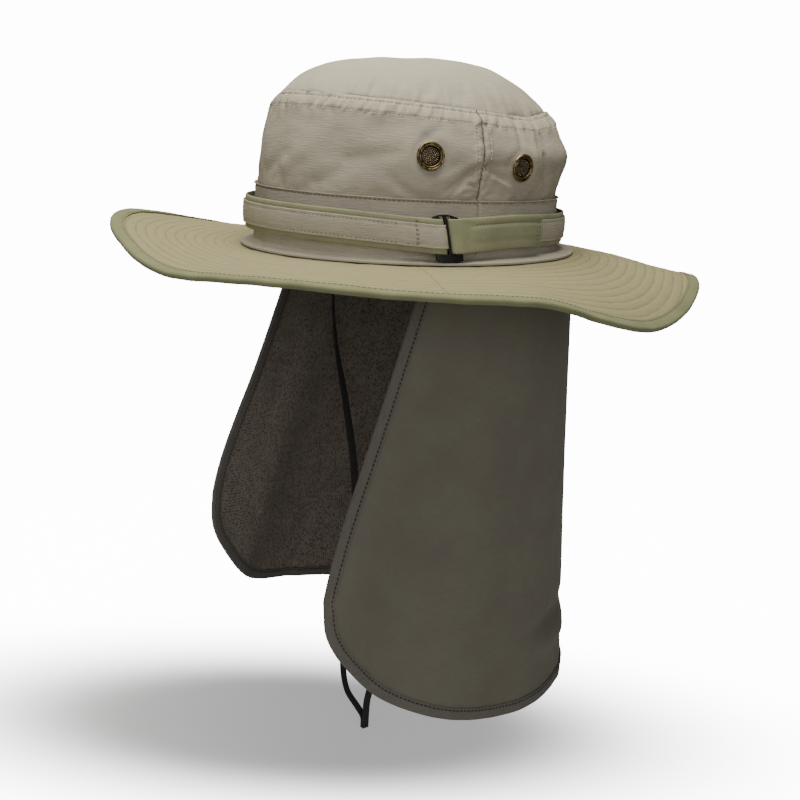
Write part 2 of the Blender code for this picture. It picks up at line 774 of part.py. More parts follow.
def make_flap():
    """The neck flap and the tape that binds its front edges and hem."""
    bound = 1 - FLAP_BINDING_WIDTH / FLAP_HALF_WIDTH
    hem_bound = 1 - FLAP_BINDING_WIDTH / FLAP_LENGTH
    inner = [math.copysign(abs(place) ** 0.9, place) * bound for place in spread(-1, 1, FLAP_COLUMNS - 2)]
    places = [-1.0] + inner + [1.0]
    shares = spread(0, hem_bound, FLAP_ROWS - 1) + [1.0]
    columns = [[flap_point(place, share) for share in shares] for place in places]
    mesh = grid_mesh("neck_flap", columns, False)
    thicken(finish(mesh, "neck_flap", "flap_cloth"), FLAP_CLOTH, 0)
    turn_place, turn_share = bound - FLAP_BINDING_TURN, hem_bound - FLAP_BINDING_TURN
    upright = [FLAP_BINDING_START] + shares[1:-1]
    edge = [((-1, share), (-bound, min(share, turn_share))) for share in upright]
    edge += [((-1, 1), (-bound, hem_bound))]
    edge += [((place, 1), (max(-turn_place, min(turn_place, place)), hem_bound)) for place in inner]
    edge += [((1, 1), (bound, hem_bound))]
    edge += [((1, share), (bound, min(share, turn_share))) for share in reversed(upright)]
    loops = []
    for outer, near in edge:
        tip, root = flap_point(*outer), flap_point(*near)
        out = (tip - root).normalized()
        side = flap_outward(*near)
        side = (side - out * side.dot(out)).normalized()
        loops.append(folded_tape(tip, root, side, FLAP_CLOTH, FLAP_TAPE))
    sweep("flap_binding", loops, "flap_cloth")


def strap_frames(rows, step):
    """Places a step apart on a smooth curve through a strap's rows, with the tape's width and face."""
    table, length = [], 0.0
    for i, row in enumerate(rows):
        if i:
            length += (Vector(row[:3]) - Vector(rows[i - 1][:3])).length
        table.append((length, *row))
    count = round(length / step)
    frames = []
    for distance in spread(0, length, count):
        place, before, after = (
            Vector([read_table(table, near, column) for column in (1, 2, 3)])
            for near in (distance, max(0, distance - 0.001), min(length, distance + 0.001))
        )
        along = (after - before).normalized()
        turn = math.radians(read_table(table, distance, 4))
        width = Vector((math.cos(turn), math.sin(turn), 0))
        width = (width - along * width.dot(along)).normalized()
        frames.append((place, width, along.cross(width)))
    return frames


def make_chin_strap():
    """Two halves of flat tape, which hang from inside the opening and are sewn together at their ends."""
    for name, rows in (("chin_strap_left", CHIN_STRAP_LEFT), ("chin_strap_right", CHIN_STRAP_RIGHT)):
        loops = []
        for place, width, face in strap_frames(rows, CHIN_STRAP_STEP):
            wide, thick = width * CHIN_STRAP_WIDTH / 2, face * CHIN_STRAP_THICKNESS / 2
            loops.append((place - wide - thick, place + wide - thick, place + wide + thick, place - wide + thick))
        sweep(name, loops, "chin_tape")


def main():
    for thing in list(bpy.data.objects):
        bpy.data.objects.remove(thing)
    make_materials()
    front, back = make_crown()
    make_eyelets(front, back)
    make_brim()
    make_band()
    make_flap()
    make_chin_strap()


main()
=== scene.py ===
import math

import bpy
import numpy as np
from mathutils import Matrix, Vector, noise
from mathutils.bvhtree import BVHTree


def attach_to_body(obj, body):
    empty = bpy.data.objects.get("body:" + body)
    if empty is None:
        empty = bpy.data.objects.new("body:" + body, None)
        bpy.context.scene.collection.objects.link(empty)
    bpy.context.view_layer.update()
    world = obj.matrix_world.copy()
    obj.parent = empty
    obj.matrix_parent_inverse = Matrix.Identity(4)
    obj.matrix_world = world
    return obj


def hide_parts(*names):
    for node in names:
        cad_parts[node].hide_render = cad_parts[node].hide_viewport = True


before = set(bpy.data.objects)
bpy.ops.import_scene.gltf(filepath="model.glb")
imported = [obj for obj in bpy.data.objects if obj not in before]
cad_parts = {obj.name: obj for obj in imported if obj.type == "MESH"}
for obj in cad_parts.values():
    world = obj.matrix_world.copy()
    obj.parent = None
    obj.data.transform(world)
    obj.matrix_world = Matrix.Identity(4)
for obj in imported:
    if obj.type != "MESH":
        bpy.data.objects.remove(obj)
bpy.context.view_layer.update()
bpy.ops.object.select_all(action="DESELECT")

# Camera at the photograph's viewing angle, in degrees, metres and pixels of an 800 pixel frame
VIEW_TURN = 51.5
VIEW_RISE = 5.5
VIEW_ROLL = 3.1
VIEW_DISTANCE = 0.780
VIEW_FOCUS = 1273.4
VIEW_CENTRE = (0, 0, 0.018)
VIEW_ASIDE = 0.0011
VIEW_DROP = 0.1139
FLOOR_HEIGHT = -0.3205

# Sizes in metres, most of them the CAD's, and angles in degrees from the front over the wearer's left
HEAD_LENGTH = 0.1920
HEAD_WIDTH = 0.1570
ARC = 0.00152
CROWN_CLOTH = 0.0012
CLEARANCE = 0.0003
HEM_HEIGHT = 0.0370
HEM_BACK_DROP = 0.0025
HEM_LAP = 0.0060
CROWN_HEIGHT = 0.0845
PANEL_INSET = 0.0110
PANEL_BULGE = 0.0092
DOME_HEIGHT = 0.0265
DOME_FULLNESS = 3.4
SIDE_SEAM_ANGLE = 82.0
SIDE_SEAM_SLANT = 2.0
SEAM_ROLL = 0.0009
SEAM_ROLL_REACH = 0.0006
SEAM_ALLOWANCE = 0.0074
BASE_STRAIGHT = 0.55
FLARE_HEIGHT = 0.0056
FLARE_REACH_FRONT = 0.0072
FLARE_REACH_BACK = 0.0130
BRIM_WIDTH = 0.0830
BRIM_CLOTH = 0.0018
BRIM_FLAT = 0.0150
BRIM_SEAM_ANGLE = 60.0
BRIM_SEAM_GAP = 0.02
BINDING_WIDTH = 0.0062
BAND_WIDTH = 0.0204
BAND_CLOTH = 0.0012
BAND_HEIGHT = 0.0210
BAND_BACK_DROP = 0.0045
BAND_STAND_OFF = 0.0045
BAND_SAG = 0.0025
BAND_SAG_REACH = 0.0450
BAND_PINCH = 0.09
BAND_PINCH_REACH = 0.0200
BAND_TAIL_LIFT = 0.0014
BAND_TAIL_REACH = 0.0300
STRIP_WIDTH = 0.0140
STRIP_CLOTH = 0.0008
TAIL_LENGTH = 0.0680
SEWN_END_LENGTH = 0.0200
BUCKLE_ANGLE = 69.5
BUCKLE_BAR = 0.0036
BUCKLE_CENTRE_BAR = 0.0014
BUCKLE_SLOT = 0.0029
BUCKLE_THICKNESS = 0.0022
BUCKLE_TOP_RIM = 0.0019
BUCKLE_LOW_RIM = 0.0050
BUCKLE_CORNER_DROP = 0.0018
BUCKLE_LEAN = 8.5
BUCKLE_TILT = 9.0
EYELET_RADIUS = 0.0078
EYELET_BORE = 0.0053
EYELET_LIP = 0.0006
EYELET_DEPTH = 0.0016
FLAP_CLOTH = 0.0010
FLAP_ATTACH_FRONT = 0.0030
FLAP_ATTACH_BACK = 0.0150
FLAP_LEFT_ANGLE = 64.3
FLAP_RIGHT_ANGLE = 284.4
FLAP_FOLD_DEPTH = 0.0050
FLAP_BOW_LEFT = 0.0025
FLAP_BOW_RIGHT = 0.0030
FLAP_BOW_PEAK = 0.082
FLAP_BINDING_START = 0.05
FLAP_BINDING_WIDTH = 0.0058
CHIN_STRAP_WIDTH = 0.0050
CHIN_STRAP_THICKNESS = 0.0015
CHIN_STRAP_GROOVE = 0.0014

# Sewing and weave. The real weave and ribs are finer than a pixel, so they are drawn at a coarser pitch
WEAVE_PITCH = 0.0009
STITCH = 0.0026
TOP_STITCH_DROP = 0.0018
QUILT_FIRST = 0.0185
QUILT_STEP = 0.0056
QUILT_ROWS = 11
QUILT_PUFF = 0.00042
SEAM_STITCH_ASIDE = 0.0040
BARTACK_HEIGHT = 0.0530
HEM_STITCH_DROP = 0.0017
STRIP_STITCH_INSET = 0.0016
TAIL_STITCH_TOP = 0.0042
TAIL_STITCH_LOW = 0.0052
CROSS_SEAM = 0.0164
TAPE_STITCH_LIFT = 0.0008
VENT_DOT_CIRCLES = (0.0008, 0.0017, 0.0026, 0.0035, 0.0044)

# Half width of a sewn groove, and depths of folds, puckers and grooves
GROOVE = 0.0006
BRIM_WAVER = 0.0009
BRIM_UNEVEN = 0.00022
TOP_SEAM_WAVER = 0.0005
TOP_SEAM_RISE = 0.00035
TOP_SEAM_DIP = 0.00040
TOP_SEAM_PUCKER = 0.0012
TOP_SEAM_FINE_PUCKER = 0.0013
SIDE_SEAM_RISE = 0.00055
SIDE_SEAM_DIP = 0.00045
SIDE_SEAM_CLEFT = 0.00170
SIDE_SEAM_PUCKER = 0.00080
PANEL_WAVER = 0.0017
PANEL_UNEVEN = 0.0003
EYELET_PULL = 0.0009
HEM_PUCKER = 0.0009
DOME_WAVER = 0.0020
DOME_UNEVEN = 0.0006
DOME_PUCKER = 0.0012
DOME_FINE_PUCKER = 0.0010
BASE_WRINKLE = 0.0007
BASE_EDGE_RISE = 0.00060
BASE_DIP = 0.00055
BASE_PUCKER = 0.0005
BASE_SEAM_CLEFT = 0.0013
FLARE_WAVER = 0.0012
FLAP_WAVER = 0.0022
FLAP_UNEVEN = 0.0006
WEBBING_UNEVEN = 0.00015
TAIL_PUFF = 0.00045
TAIL_DIP = 0.00070
STRIP_PUFF = 0.00030
STRIP_DIP = 0.00030
STRIP_PUCKER = 0.00035
STRIP_UNEVEN = 0.00020
STRIP_LIFT = 0.0004

# Studio: the glow, and the painted shadow on the floor under the hat, are seen by the camera alone, and light
# nothing
STUDIO_LAMPS = (
    # name, kind, watts or watts per square metre, size in metres or degrees, place, colour
    ("overhead", "AREA", 7.8, 0.5, (0.03, -0.10, 0.58), "#fffdf2"),
    ("camera left", "SUN", 0.35, 50, (0.25, -1.0, 0.35), "#f4f4ff"),
    ("camera side", "SUN", 0.95, 40, (0.88, -0.46, 0.28), "#f6f6ff"),
)
AMBIENT = 0.16
BACKDROP_GLOW = 14.0
FLOOR_GLOW = 14.0
# The painted shadow on the floor: its dimmest glow, the size of its oval along and across the view, and its
# centre
FLOOR_SHADE = 0.35
SHADE_LONG = 0.345
SHADE_DEEP = 0.15
SHADE_CENTRE = (-0.031, -0.039, 0.0)

# Shapes as rows of points
BRIM_WAVE = (
    # angle, rise share of BRIM_WIDTH, reach share of BRIM_WIDTH
    (0, -0.005, 0.99),
    (10, -0.055, 1.00),
    (30, -0.025, 1.00),
    (50, -0.045, 1.00),
    (70, -0.075, 1.00),
    (80, -0.105, 1.00),
    (90, -0.205, 1.00),
    (100, -0.285, 1.00),
    (110, -0.325, 1.00),
    (120, -0.315, 1.01),
    (130, -0.255, 1.04),
    (137, -0.165, 1.07),
    (143, -0.125, 1.06),
    (152, -0.155, 1.03),
    (180, -0.185, 1.00),
    (220, -0.195, 1.00),
    (250, -0.175, 1.00),
    (270, -0.125, 1.00),
    (290, 0.005, 1.00),
    (310, 0.115, 1.00),
    (320, 0.145, 1.00),
    (335, 0.135, 0.98),
    (350, 0.075, 0.98),
)
CROWN_RISE = (
    # angle, rise of the top seam as a share of CROWN_HEIGHT
    (0, 0.062),
    (20, 0.060),
    (40, 0.049),
    (60, 0.028),
    (72, 0.012),
    (84, 0.000),
    (97, -0.019),
    (110, -0.036),
    (122, -0.019),
    (140, 0.000),
    (180, 0.000),
    (270, 0.009),
    (300, 0.017),
    (330, 0.031),
    (345, 0.052),
)
EYELETS = (
    # angle, height
    (63.3, 0.0594),
    (98.9, 0.0542),
    (261.1, 0.0542),
    (296.7, 0.0594),
)
PANEL_PROFILE = (
    # height share, inset share of PANEL_INSET, bulge share of PANEL_BULGE
    (0.00, 0.00, 0.00),
    (0.25, 0.06, 0.60),
    (0.50, 0.22, 1.00),
    (0.72, 0.42, 0.52),
    (0.88, 0.64, 0.22),
    (1.00, 1.00, 0.04),
)
PANEL_DENTS = (
    # angle, height share, depth, half width in degrees, half height share
    (74, 0.26, 0.0022, 7, 0.20),
    (90, 0.30, 0.0024, 6, 0.24),
    (114, 0.25, 0.0022, 8, 0.22),
    (30, 0.45, 0.0012, 14, 0.25),
    (150, 0.20, 0.0020, 10, 0.20),
    (215, 0.30, 0.0020, 12, 0.25),
    (268, 0.30, 0.0022, 7, 0.22),
    (330, 0.40, 0.0014, 15, 0.25),
)
CREASES = (
    # angle and height of one end, angle and height of the other, depth, half width
    (81.0, 0.0540, 68.0, 0.0385, -0.0015, 0.0020),
    (79.5, 0.0570, 62.0, 0.0420, 0.0010, 0.0030),
    (75.5, 0.0450, 71.0, 0.0375, -0.0014, 0.0012),
    (85.0, 0.0540, 103.0, 0.0385, -0.0017, 0.0021),
    (85.0, 0.0550, 95.0, 0.0550, -0.0010, 0.0016),
    (88.0, 0.0480, 98.0, 0.0415, 0.0012, 0.0015),
    (78.0, 0.0445, 81.5, 0.0430, -0.0012, 0.0010),
    (76.0, 0.0400, 80.5, 0.0415, -0.0010, 0.0009),
    (102.0, 0.0790, 99.5, 0.0640, -0.0016, 0.0022),
    (109.0, 0.0790, 106.0, 0.0600, 0.0012, 0.0022),
    (112.0, 0.0600, 118.0, 0.0390, -0.0020, 0.0022),
    (124.0, 0.0520, 128.0, 0.0370, -0.0018, 0.0022),
    (58.0, 0.0380, 50.0, 0.0470, -0.0011, 0.0026),
    (22.0, 0.0420, 40.0, 0.0540, -0.0010, 0.0040),
    (34.0, 0.0560, 52.0, 0.0600, -0.0009, 0.0034),
    (6.0, 0.0500, 26.0, 0.0680, 0.0009, 0.0050),
    (352.0, 0.0440, 6.0, 0.0560, -0.0010, 0.0040),
    (62.0, 0.0690, 70.0, 0.0760, -0.0009, 0.0026),
    (165.0, 0.0380, 172.0, 0.0560, -0.0018, 0.0024),
    (205.0, 0.0380, 196.0, 0.0520, -0.0016, 0.0024),
    (278.5, 0.0535, 294.0, 0.0380, -0.0020, 0.0018),
    (274.0, 0.0545, 258.0, 0.0385, -0.0020, 0.0018),
    (320.0, 0.0400, 334.0, 0.0520, -0.0012, 0.0030),
)
FLAP_HEM = (
    # place, across, along, height
    (-1.00, -0.0740, -0.0870, -0.1660),
    (-0.95, -0.0760, -0.0860, -0.1880),
    (-0.88, -0.0830, -0.0730, -0.2100),
    (-0.78, -0.0920, -0.0550, -0.2300),
    (-0.65, -0.1020, -0.0330, -0.2430),
    (-0.50, -0.1080, -0.0030, -0.2500),
    (-0.35, -0.1040, 0.0380, -0.2540),
    (-0.20, -0.0850, 0.0740, -0.2540),
    (-0.10, -0.0470, 0.1010, -0.2540),
    (0.00, 0.0000, 0.1100, -0.2540),
    (0.10, 0.0490, 0.1020, -0.2550),
    (0.20, 0.0910, 0.0750, -0.2560),
    (0.35, 0.1070, 0.0380, -0.2610),
    (0.50, 0.1120, -0.0050, -0.2605),
    (0.65, 0.1090, -0.0420, -0.2535),
    (0.78, 0.0990, -0.0740, -0.2395),
    (0.88, 0.0885, -0.0945, -0.2190),
    (0.95, 0.0815, -0.1050, -0.2000),
    (1.00, 0.0760, -0.1040, -0.1820),
)
FLAP_FOLDS = (
    # place, depth share of FLAP_FOLD_DEPTH, half width
    (-0.80, -0.7, 0.10),
    (-0.52, 0.8, 0.09),
    (-0.30, -0.7, 0.08),
    (-0.06, 0.8, 0.10),
    (0.20, -0.8, 0.09),
    (0.45, 0.7, 0.10),
    (0.78, -1.0, 0.10),
)
FLAP_PINCHES = (
    # place, share, depth, half width, half height
    (0.31, 0.835, -0.0046, 0.11, 0.022),
    (0.31, 0.880, 0.0032, 0.11, 0.022),
)
CHIN_STRAP_LEFT = (
    # across, along, height, plan direction of the tape's width in degrees
    (0.0771, 0.0000, 0.0060, 90),
    (0.0765, 0.0000, -0.0220, 90),
    (0.0720, -0.0010, -0.0600, 70),
    (0.0590, -0.0030, -0.1100, 50),
    (0.0420, -0.0060, -0.1650, 50),
    (0.0250, -0.0090, -0.2200, 55),
    (0.0080, -0.0115, -0.2700, 70),
    (-0.0006, -0.0120, -0.2980, 82),
    (-0.0014, -0.0120, -0.3090, 90),
    (-0.0014, -0.0120, -0.3190, 90),
)
CHIN_STRAP_RIGHT = (
    # across, along, height, plan direction of the tape's width in degrees
    (-0.0771, 0.0000, 0.0060, 90),
    (-0.0760, 0.0000, -0.0250, 120),
    (-0.0745, -0.0005, -0.0430, 135),
    (-0.0670, -0.0020, -0.0720, 120),
    (-0.0526, -0.0030, -0.1070, 85),
    (-0.0390, -0.0040, -0.1450, 60),
    (-0.0315, -0.0050, -0.1850, 50),
    (-0.0305, -0.0060, -0.2200, 50),
    (-0.0335, -0.0080, -0.2580, 70),
    (-0.0320, -0.0100, -0.2860, 95),
    (-0.0245, -0.0115, -0.3010, 110),
    (-0.0110, -0.0120, -0.3080, 105),
    (-0.0040, -0.0120, -0.3120, 95),
    (-0.0032, -0.0120, -0.3190, 90),
)


def read_table(rows, place, column, period=None):
    """Value of a column between the rows of a table, on a smooth curve through them."""
    if period:
        place = place % period
        rows = (
            [(rows[-1][0] - period, *rows[-1][1:])]
            + list(rows)
            + [(rows[0][0] + period, *rows[0][1:]), (rows[1][0] + period, *rows[1][1:])]
        )
    last = len(rows) - 2
    index = max(i for i in range(last + 1) if i == 0 or rows[i][0] <= place)
    before, low, high, after = (rows[max(0, min(last + 1, index + k))] for k in (-1, 0, 1, 2))
    span = high[0] - low[0]
    share = min(1.0, max(0.0, (place - low[0]) / span))
    slope_low = (high[column] - before[column]) / max(high[0] - before[0], span) * span
    slope_high = (after[column] - low[column]) / max(after[0] - low[0], span) * span
    square, cube = share**2, share**3
    return (
        (2 * cube - 3 * square + 1) * low[column]
        + (cube - 2 * square + share) * slope_low
        + (3 * square - 2 * cube) * high[column]
        + (cube - square) * slope_high
    )


def bell(offset, half_width):
    """A smooth hill, 1 in the middle."""
    return math.exp(-((offset / half_width) ** 2))


def step_up(value, edge, soft):
    """0 before an edge and 1 after it, with a soft change between."""
    share = min(1.0, max(0.0, (value - edge) / soft + 0.5))
    return share * share * (3 - 2 * share)


def backness(angle):
    """0 at the front of the hat, 1 at the back."""
    return 0.5 - 0.5 * math.cos(math.radians(angle))


def turn_between(angle, middle):
    """Signed degrees from one angle to another, the short way round."""
    return (angle - middle + 180) % 360 - 180


def spread(start, end, steps):
    """Evenly spaced values from start to end, both included."""
    return [start + (end - start) * i / steps for i in range(steps + 1)]


def oval(angle, grow, height=0.0):
    """A point of the head oval at this angle, pushed out square to it by grow."""
    turn = math.radians(angle)
    x, y = HEAD_WIDTH / 2 * math.sin(turn), -HEAD_LENGTH / 2 * math.cos(turn)
    normal = Vector((x / HEAD_WIDTH**2, y / HEAD_LENGTH**2, 0)).normalized()
    return Vector((x, y, height)) + normal * grow


def ripple(angle, height, size):
    """A gentle unevenness of cloth round the head, from -1 to 1, with folds of about this size."""
    return noise.noise(oval(angle, 0, height) / size)


def crumple(across, along, layer):
    """Uneven cloth from -1 to 1, with folds one unit apart. Each layer is another pattern."""
    return noise.noise(Vector((across, along, layer)))


def flare_reach(angle):
    return FLARE_REACH_FRONT + (FLARE_REACH_BACK - FLARE_REACH_FRONT) * backness(angle)


def brim_top(angle, reach):
    """Height of the brim's upper face at a share of its width from the head oval."""
    rise = read_table(BRIM_WAVE, angle, 1, 360) * BRIM_WIDTH
    flat = BRIM_FLAT / BRIM_WIDTH
    out = max(0.0, reach - flat) / (1 - flat)
    return rise * (0.35 * out + 0.65 * out**2) + BRIM_CLOTH / 2


def brim_far(angle, reach):
    """How far from the head oval a share of the brim's width is."""
    return BRIM_WIDTH * (1 + (read_table(BRIM_WAVE, angle, 2, 360) - 1) * reach) * reach


def brim_point(angle, reach):
    """A point of the brim's upper face, puffed up between its quilting rows."""
    far = brim_far(angle, reach)
    row = (far - QUILT_FIRST) / QUILT_STEP
    puff = 0.0
    if far > QUILT_FIRST - QUILT_STEP / 2:
        puff = QUILT_PUFF * (1 - (1 - abs(math.sin(math.pi * row))) ** 2.5 * 1.6)
        puff *= 0.75 + 0.5 * ripple(angle, reach * 0.1, 0.006)
    wave = BRIM_WAVER * ripple(angle, 0.3 + reach * 0.08, 0.030) * reach
    fine = BRIM_UNEVEN * ripple(angle, 0.7 + reach * 0.09, 0.007)
    return oval(angle, far, brim_top(angle, reach) + puff + wave + fine)


def hem_height(angle):
    """Height of the base band's upper edge, which is sewn over the side panels."""
    return HEM_HEIGHT - HEM_BACK_DROP * backness(angle)


def seam_height(angle):
    """Height of the top seam, which wavers a little as it was sewn."""
    rise = read_table(CROWN_RISE, angle, 1, 360)
    return CROWN_HEIGHT * (1 + rise) + TOP_SEAM_WAVER * ripple(angle, 8, 0.012)


def share_of(angle, height):
    """How far up a side panel a height is, from the base band's upper edge (0) to the top seam (1)."""
    low = hem_height(angle)
    return (height - low) / (seam_height(angle) - low)


def seam_tuck(angle, away):
    """How deep the cloth is drawn in at a distance from the top seam."""
    return SEAM_ROLL * max(0.1, 0.6 + 1.6 * ripple(angle, 11, 0.015)) * math.exp(-away / SEAM_ROLL_REACH)


def crease_depth(angle, height):
    """How far the drawn creases push the crown's cloth out at a place."""
    push = 0.0
    for from_angle, from_height, to_angle, to_height, depth, half_width in CREASES:
        across = turn_between(angle, from_angle) * ARC
        if abs(across) > 0.05:
            continue
        way = Vector((turn_between(to_angle, from_angle) * ARC, to_height - from_height))
        place = Vector((across, height - from_height))
        share = min(1.0, max(0.0, place.dot(way) / way.length_squared))
        apart = (place - way * share).length
        push += depth * bell(apart, half_width) * (1 - 0.6 * share)
    return push


def seam_relief(angle, share, height):
    """The side seams on a panel: a doubled strip between two sewn grooves, with the seam's own cleft."""
    push = 0.0
    for side in (1, -1):
        aside = turn_between(angle, side * seam_angle(share)) * ARC
        if abs(aside) < 0.02:
            above = step_up(height, BARTACK_HEIGHT, 0.003)
            push += SIDE_SEAM_RISE * above * (1 - step_up(abs(aside), SEAM_STITCH_ASIDE + 0.0011, 0.0010))
            push -= SIDE_SEAM_DIP * above * bell(abs(aside) - SEAM_STITCH_ASIDE, GROOVE)
            push -= SIDE_SEAM_CLEFT * math.exp(-abs(aside) / GROOVE)
            push += SIDE_SEAM_PUCKER * crumple(aside / 0.004, height / 0.0030, 9) * bell(aside, 0.0062)
    return push


def panel_relief(angle, share):
    """Seams, puckers and folds of a side panel, as a push outwards."""
    low = hem_height(angle)
    height = low + (seam_height(angle) - low) * share
    below_top = (1 - share) * (seam_height(angle) - low)
    doubled = TOP_SEAM_RISE * (1 - step_up(below_top, SEAM_ALLOWANCE + 0.0008, 0.0012))
    rows = bell(below_top - TOP_STITCH_DROP, GROOVE) + bell(below_top - SEAM_ALLOWANCE, GROOVE)
    around = angle * ARC
    wide = crumple(around / 0.0060, below_top / 0.012, 3)
    wide *= math.exp(-((max(0.0, below_top - 0.0060) / 0.0050) ** 2))
    fine = crumple(around / 0.0026 + below_top / 0.006, below_top / 0.008, 13)
    fine *= 1 - step_up(below_top, SEAM_ALLOWANCE + 0.001, 0.003)
    pull = sum(
        -EYELET_PULL * bell(math.hypot(turn_between(angle, at) * ARC, height - up) - EYELET_RADIUS, 0.0024)
        for at, up in EYELETS
    )
    hem = HEM_PUCKER * crumple(around / 0.006, height / 0.01, 5) * bell(height - low, 0.006)
    soft = PANEL_WAVER * ripple(angle, height, 0.028)
    soft += PANEL_UNEVEN * ripple(angle, height * 1.8 + 1, 0.012)
    free = step_up(share, 0.04, 0.10) * (pull + soft + crease_depth(angle, height))
    sewn = doubled - TOP_SEAM_DIP * rows - seam_tuck(angle, below_top) + seam_relief(angle, share, height)
    return sewn + TOP_SEAM_PUCKER * wide + TOP_SEAM_FINE_PUCKER * fine + hem + free


def seam_angle(share):
    """Where the side seam runs: it leans to the back as it rises."""
    return SIDE_SEAM_ANGLE + SIDE_SEAM_SLANT * max(0.0, share)


def panel_point(angle, share, bare=False):
    """A point of a side panel's outer face, from the base band's upper edge (0) to the top seam (1)."""
    low = hem_height(angle)
    inset = read_table(PANEL_PROFILE, share, 1) * PANEL_INSET
    bulge = read_table(PANEL_PROFILE, share, 2) * PANEL_BULGE * (0.15 + 0.85 * backness(angle))
    dent = sum(
        depth * bell(turn_between(angle, at), wide) * bell(share - up, tall)
        for at, up, depth, wide, tall in PANEL_DENTS
    )
    dent *= max(0.0, 4 * share * (1 - share))
    out = bulge - inset - dent - CLEARANCE
    if share > 0 and not bare:
        out += panel_relief(angle, share)
    return oval(angle, out, low + (seam_height(angle) - low) * share)


def dome_point(angle, share):
    """A point of the top panel, from the seam (0), where its edge turns in, to its middle (1)."""
    edge = panel_point(angle, 1.0, bare=True)
    middle = Vector((0, 0, edge.z))
    reach = (edge - middle).length
    from_seam = share * reach
    out = middle + (edge - middle) * (1 - share)
    out.z += (CROWN_HEIGHT + DOME_HEIGHT - edge.z) * (1 - (1 - share) ** DOME_FULLNESS)
    around = angle * ARC
    pucker = DOME_PUCKER * crumple(around / 0.0060, from_seam / 0.010, 7) * bell(from_seam, 0.0100)
    pucker += DOME_FINE_PUCKER * crumple(around / 0.0026, from_seam / 0.006, 17) * bell(from_seam, 0.0050)
    soft = DOME_WAVER * noise.noise(out / 0.038) + DOME_UNEVEN * noise.noise(out / 0.015)
    tuck = seam_tuck(angle, from_seam)
    out.z += (soft + pucker) * min(1.0, from_seam / 0.006) - tuck
    return out + oval(angle, pucker * 0.6 - tuck) - oval(angle, 0)


def base_point(angle, share):
    """A point of the base band's outer face, from its upper edge (0) to the flare's edge (1)."""
    top = hem_height(angle)
    below_hem = share * top / BASE_STRAIGHT
    wrinkle = BASE_WRINKLE * ripple(angle, 2 + share * 0.03, 0.009) * share * (1 - share) * 4
    relief = BASE_EDGE_RISE * bell(below_hem - 0.0003, GROOVE)
    relief -= BASE_DIP * bell(below_hem - HEM_STITCH_DROP, 0.0005)
    relief += BASE_PUCKER * crumple(angle * ARC / 0.0032, below_hem / 0.01, 5) * bell(below_hem, 0.004)
    for side in (1, -1):
        relief -= BASE_SEAM_CLEFT * bell(turn_between(angle, side * SIDE_SEAM_ANGLE) * ARC, GROOVE)
    if share <= BASE_STRAIGHT:
        height = top + (FLARE_HEIGHT - top) * share / BASE_STRAIGHT
        return oval(angle, CROWN_CLOTH + wrinkle + relief, height)
    bend = (share - BASE_STRAIGHT) / (1 - BASE_STRAIGHT) * math.pi / 2
    swell = FLARE_WAVER * ripple(angle, 5, 0.030) * math.sin(bend)
    reach = (flare_reach(angle) + swell) * (1 - math.cos(bend))
    foot = brim_top(angle, flare_reach(angle) / BRIM_WIDTH) + CROWN_CLOTH + CLEARANCE + 0.0004
    height = foot + (FLARE_HEIGHT - foot) * (1 - math.sin(bend))
    return oval(angle, CROWN_CLOTH + wrinkle + reach, height)


def band_speed():
    """Metres along the head oval for each radian of angle, at the buckle."""
    return (oval(BUCKLE_ANGLE + 0.5, 0) - oval(BUCKLE_ANGLE - 0.5, 0)).length / math.radians(1)


def band_length():
    """Once round the hat, in metres along the band."""
    return 2 * math.pi * band_speed()


def band_place(along, out, up):
    """A point near the band: along it from the buckle, out from the base band and up from its middle."""
    past = along + band_length()
    up *= 1 - BAND_PINCH * bell(min(0.0, past), BAND_PINCH_REACH)
    nearest = min(abs(along), abs(past))
    close = bell(nearest, BAND_SAG_REACH)
    closer = bell(nearest, BAND_SAG_REACH / 2)
    lean = math.tan(math.radians(BUCKLE_LEAN)) * up * closer
    tilt = math.tan(math.radians(BUCKLE_TILT)) * (BAND_WIDTH / 2 - up) * closer
    angle = BUCKLE_ANGLE + math.degrees((along - lean) / band_speed())
    stand_off = BAND_STAND_OFF * (0.5 + 0.5 * math.cos(math.radians(2 * angle)))
    height = BAND_HEIGHT - BAND_BACK_DROP * backness(angle) - BAND_SAG * close
    height += BAND_TAIL_LIFT * bell(past - TAIL_LENGTH * 0.6, BAND_TAIL_REACH)
    return oval(angle, CROWN_CLOTH + stand_off + tilt + out, height + up)


def band_levels():
    """Heights of the layers over the base band: under layer, sewn-over layer, tail and buckle middle."""
    under = CLEARANCE + BAND_CLOTH / 2
    over = under + BAND_CLOTH + CLEARANCE
    tail = over + STRIP_CLOTH + CLEARANCE
    buckle = CLEARANCE * 2 + BAND_CLOTH + BUCKLE_THICKNESS / 2
    return under, over, tail, buckle


def bar_end():
    """Where the band clears the buckle's outer bar."""
    return BUCKLE_CENTRE_BAR / 2 + BUCKLE_SLOT + BUCKLE_BAR + CLEARANCE * 2


def turn_round_bar(side, radius, middle):
    """The band's way round an outer bar of the buckle, from the under layer to the outer one."""
    centre = BUCKLE_CENTRE_BAR / 2 + BUCKLE_SLOT + CLEARANCE
    return [
        (side * (centre - radius * math.sin(math.pi * i / 12)), middle - radius * math.cos(math.pi * i / 12))
        for i in range(13)
    ]


def band_way(front, rear):
    """Distances along the band, from past the front of the buckle round the head to its other side."""
    return spread(-front, rear - band_length(), 90)


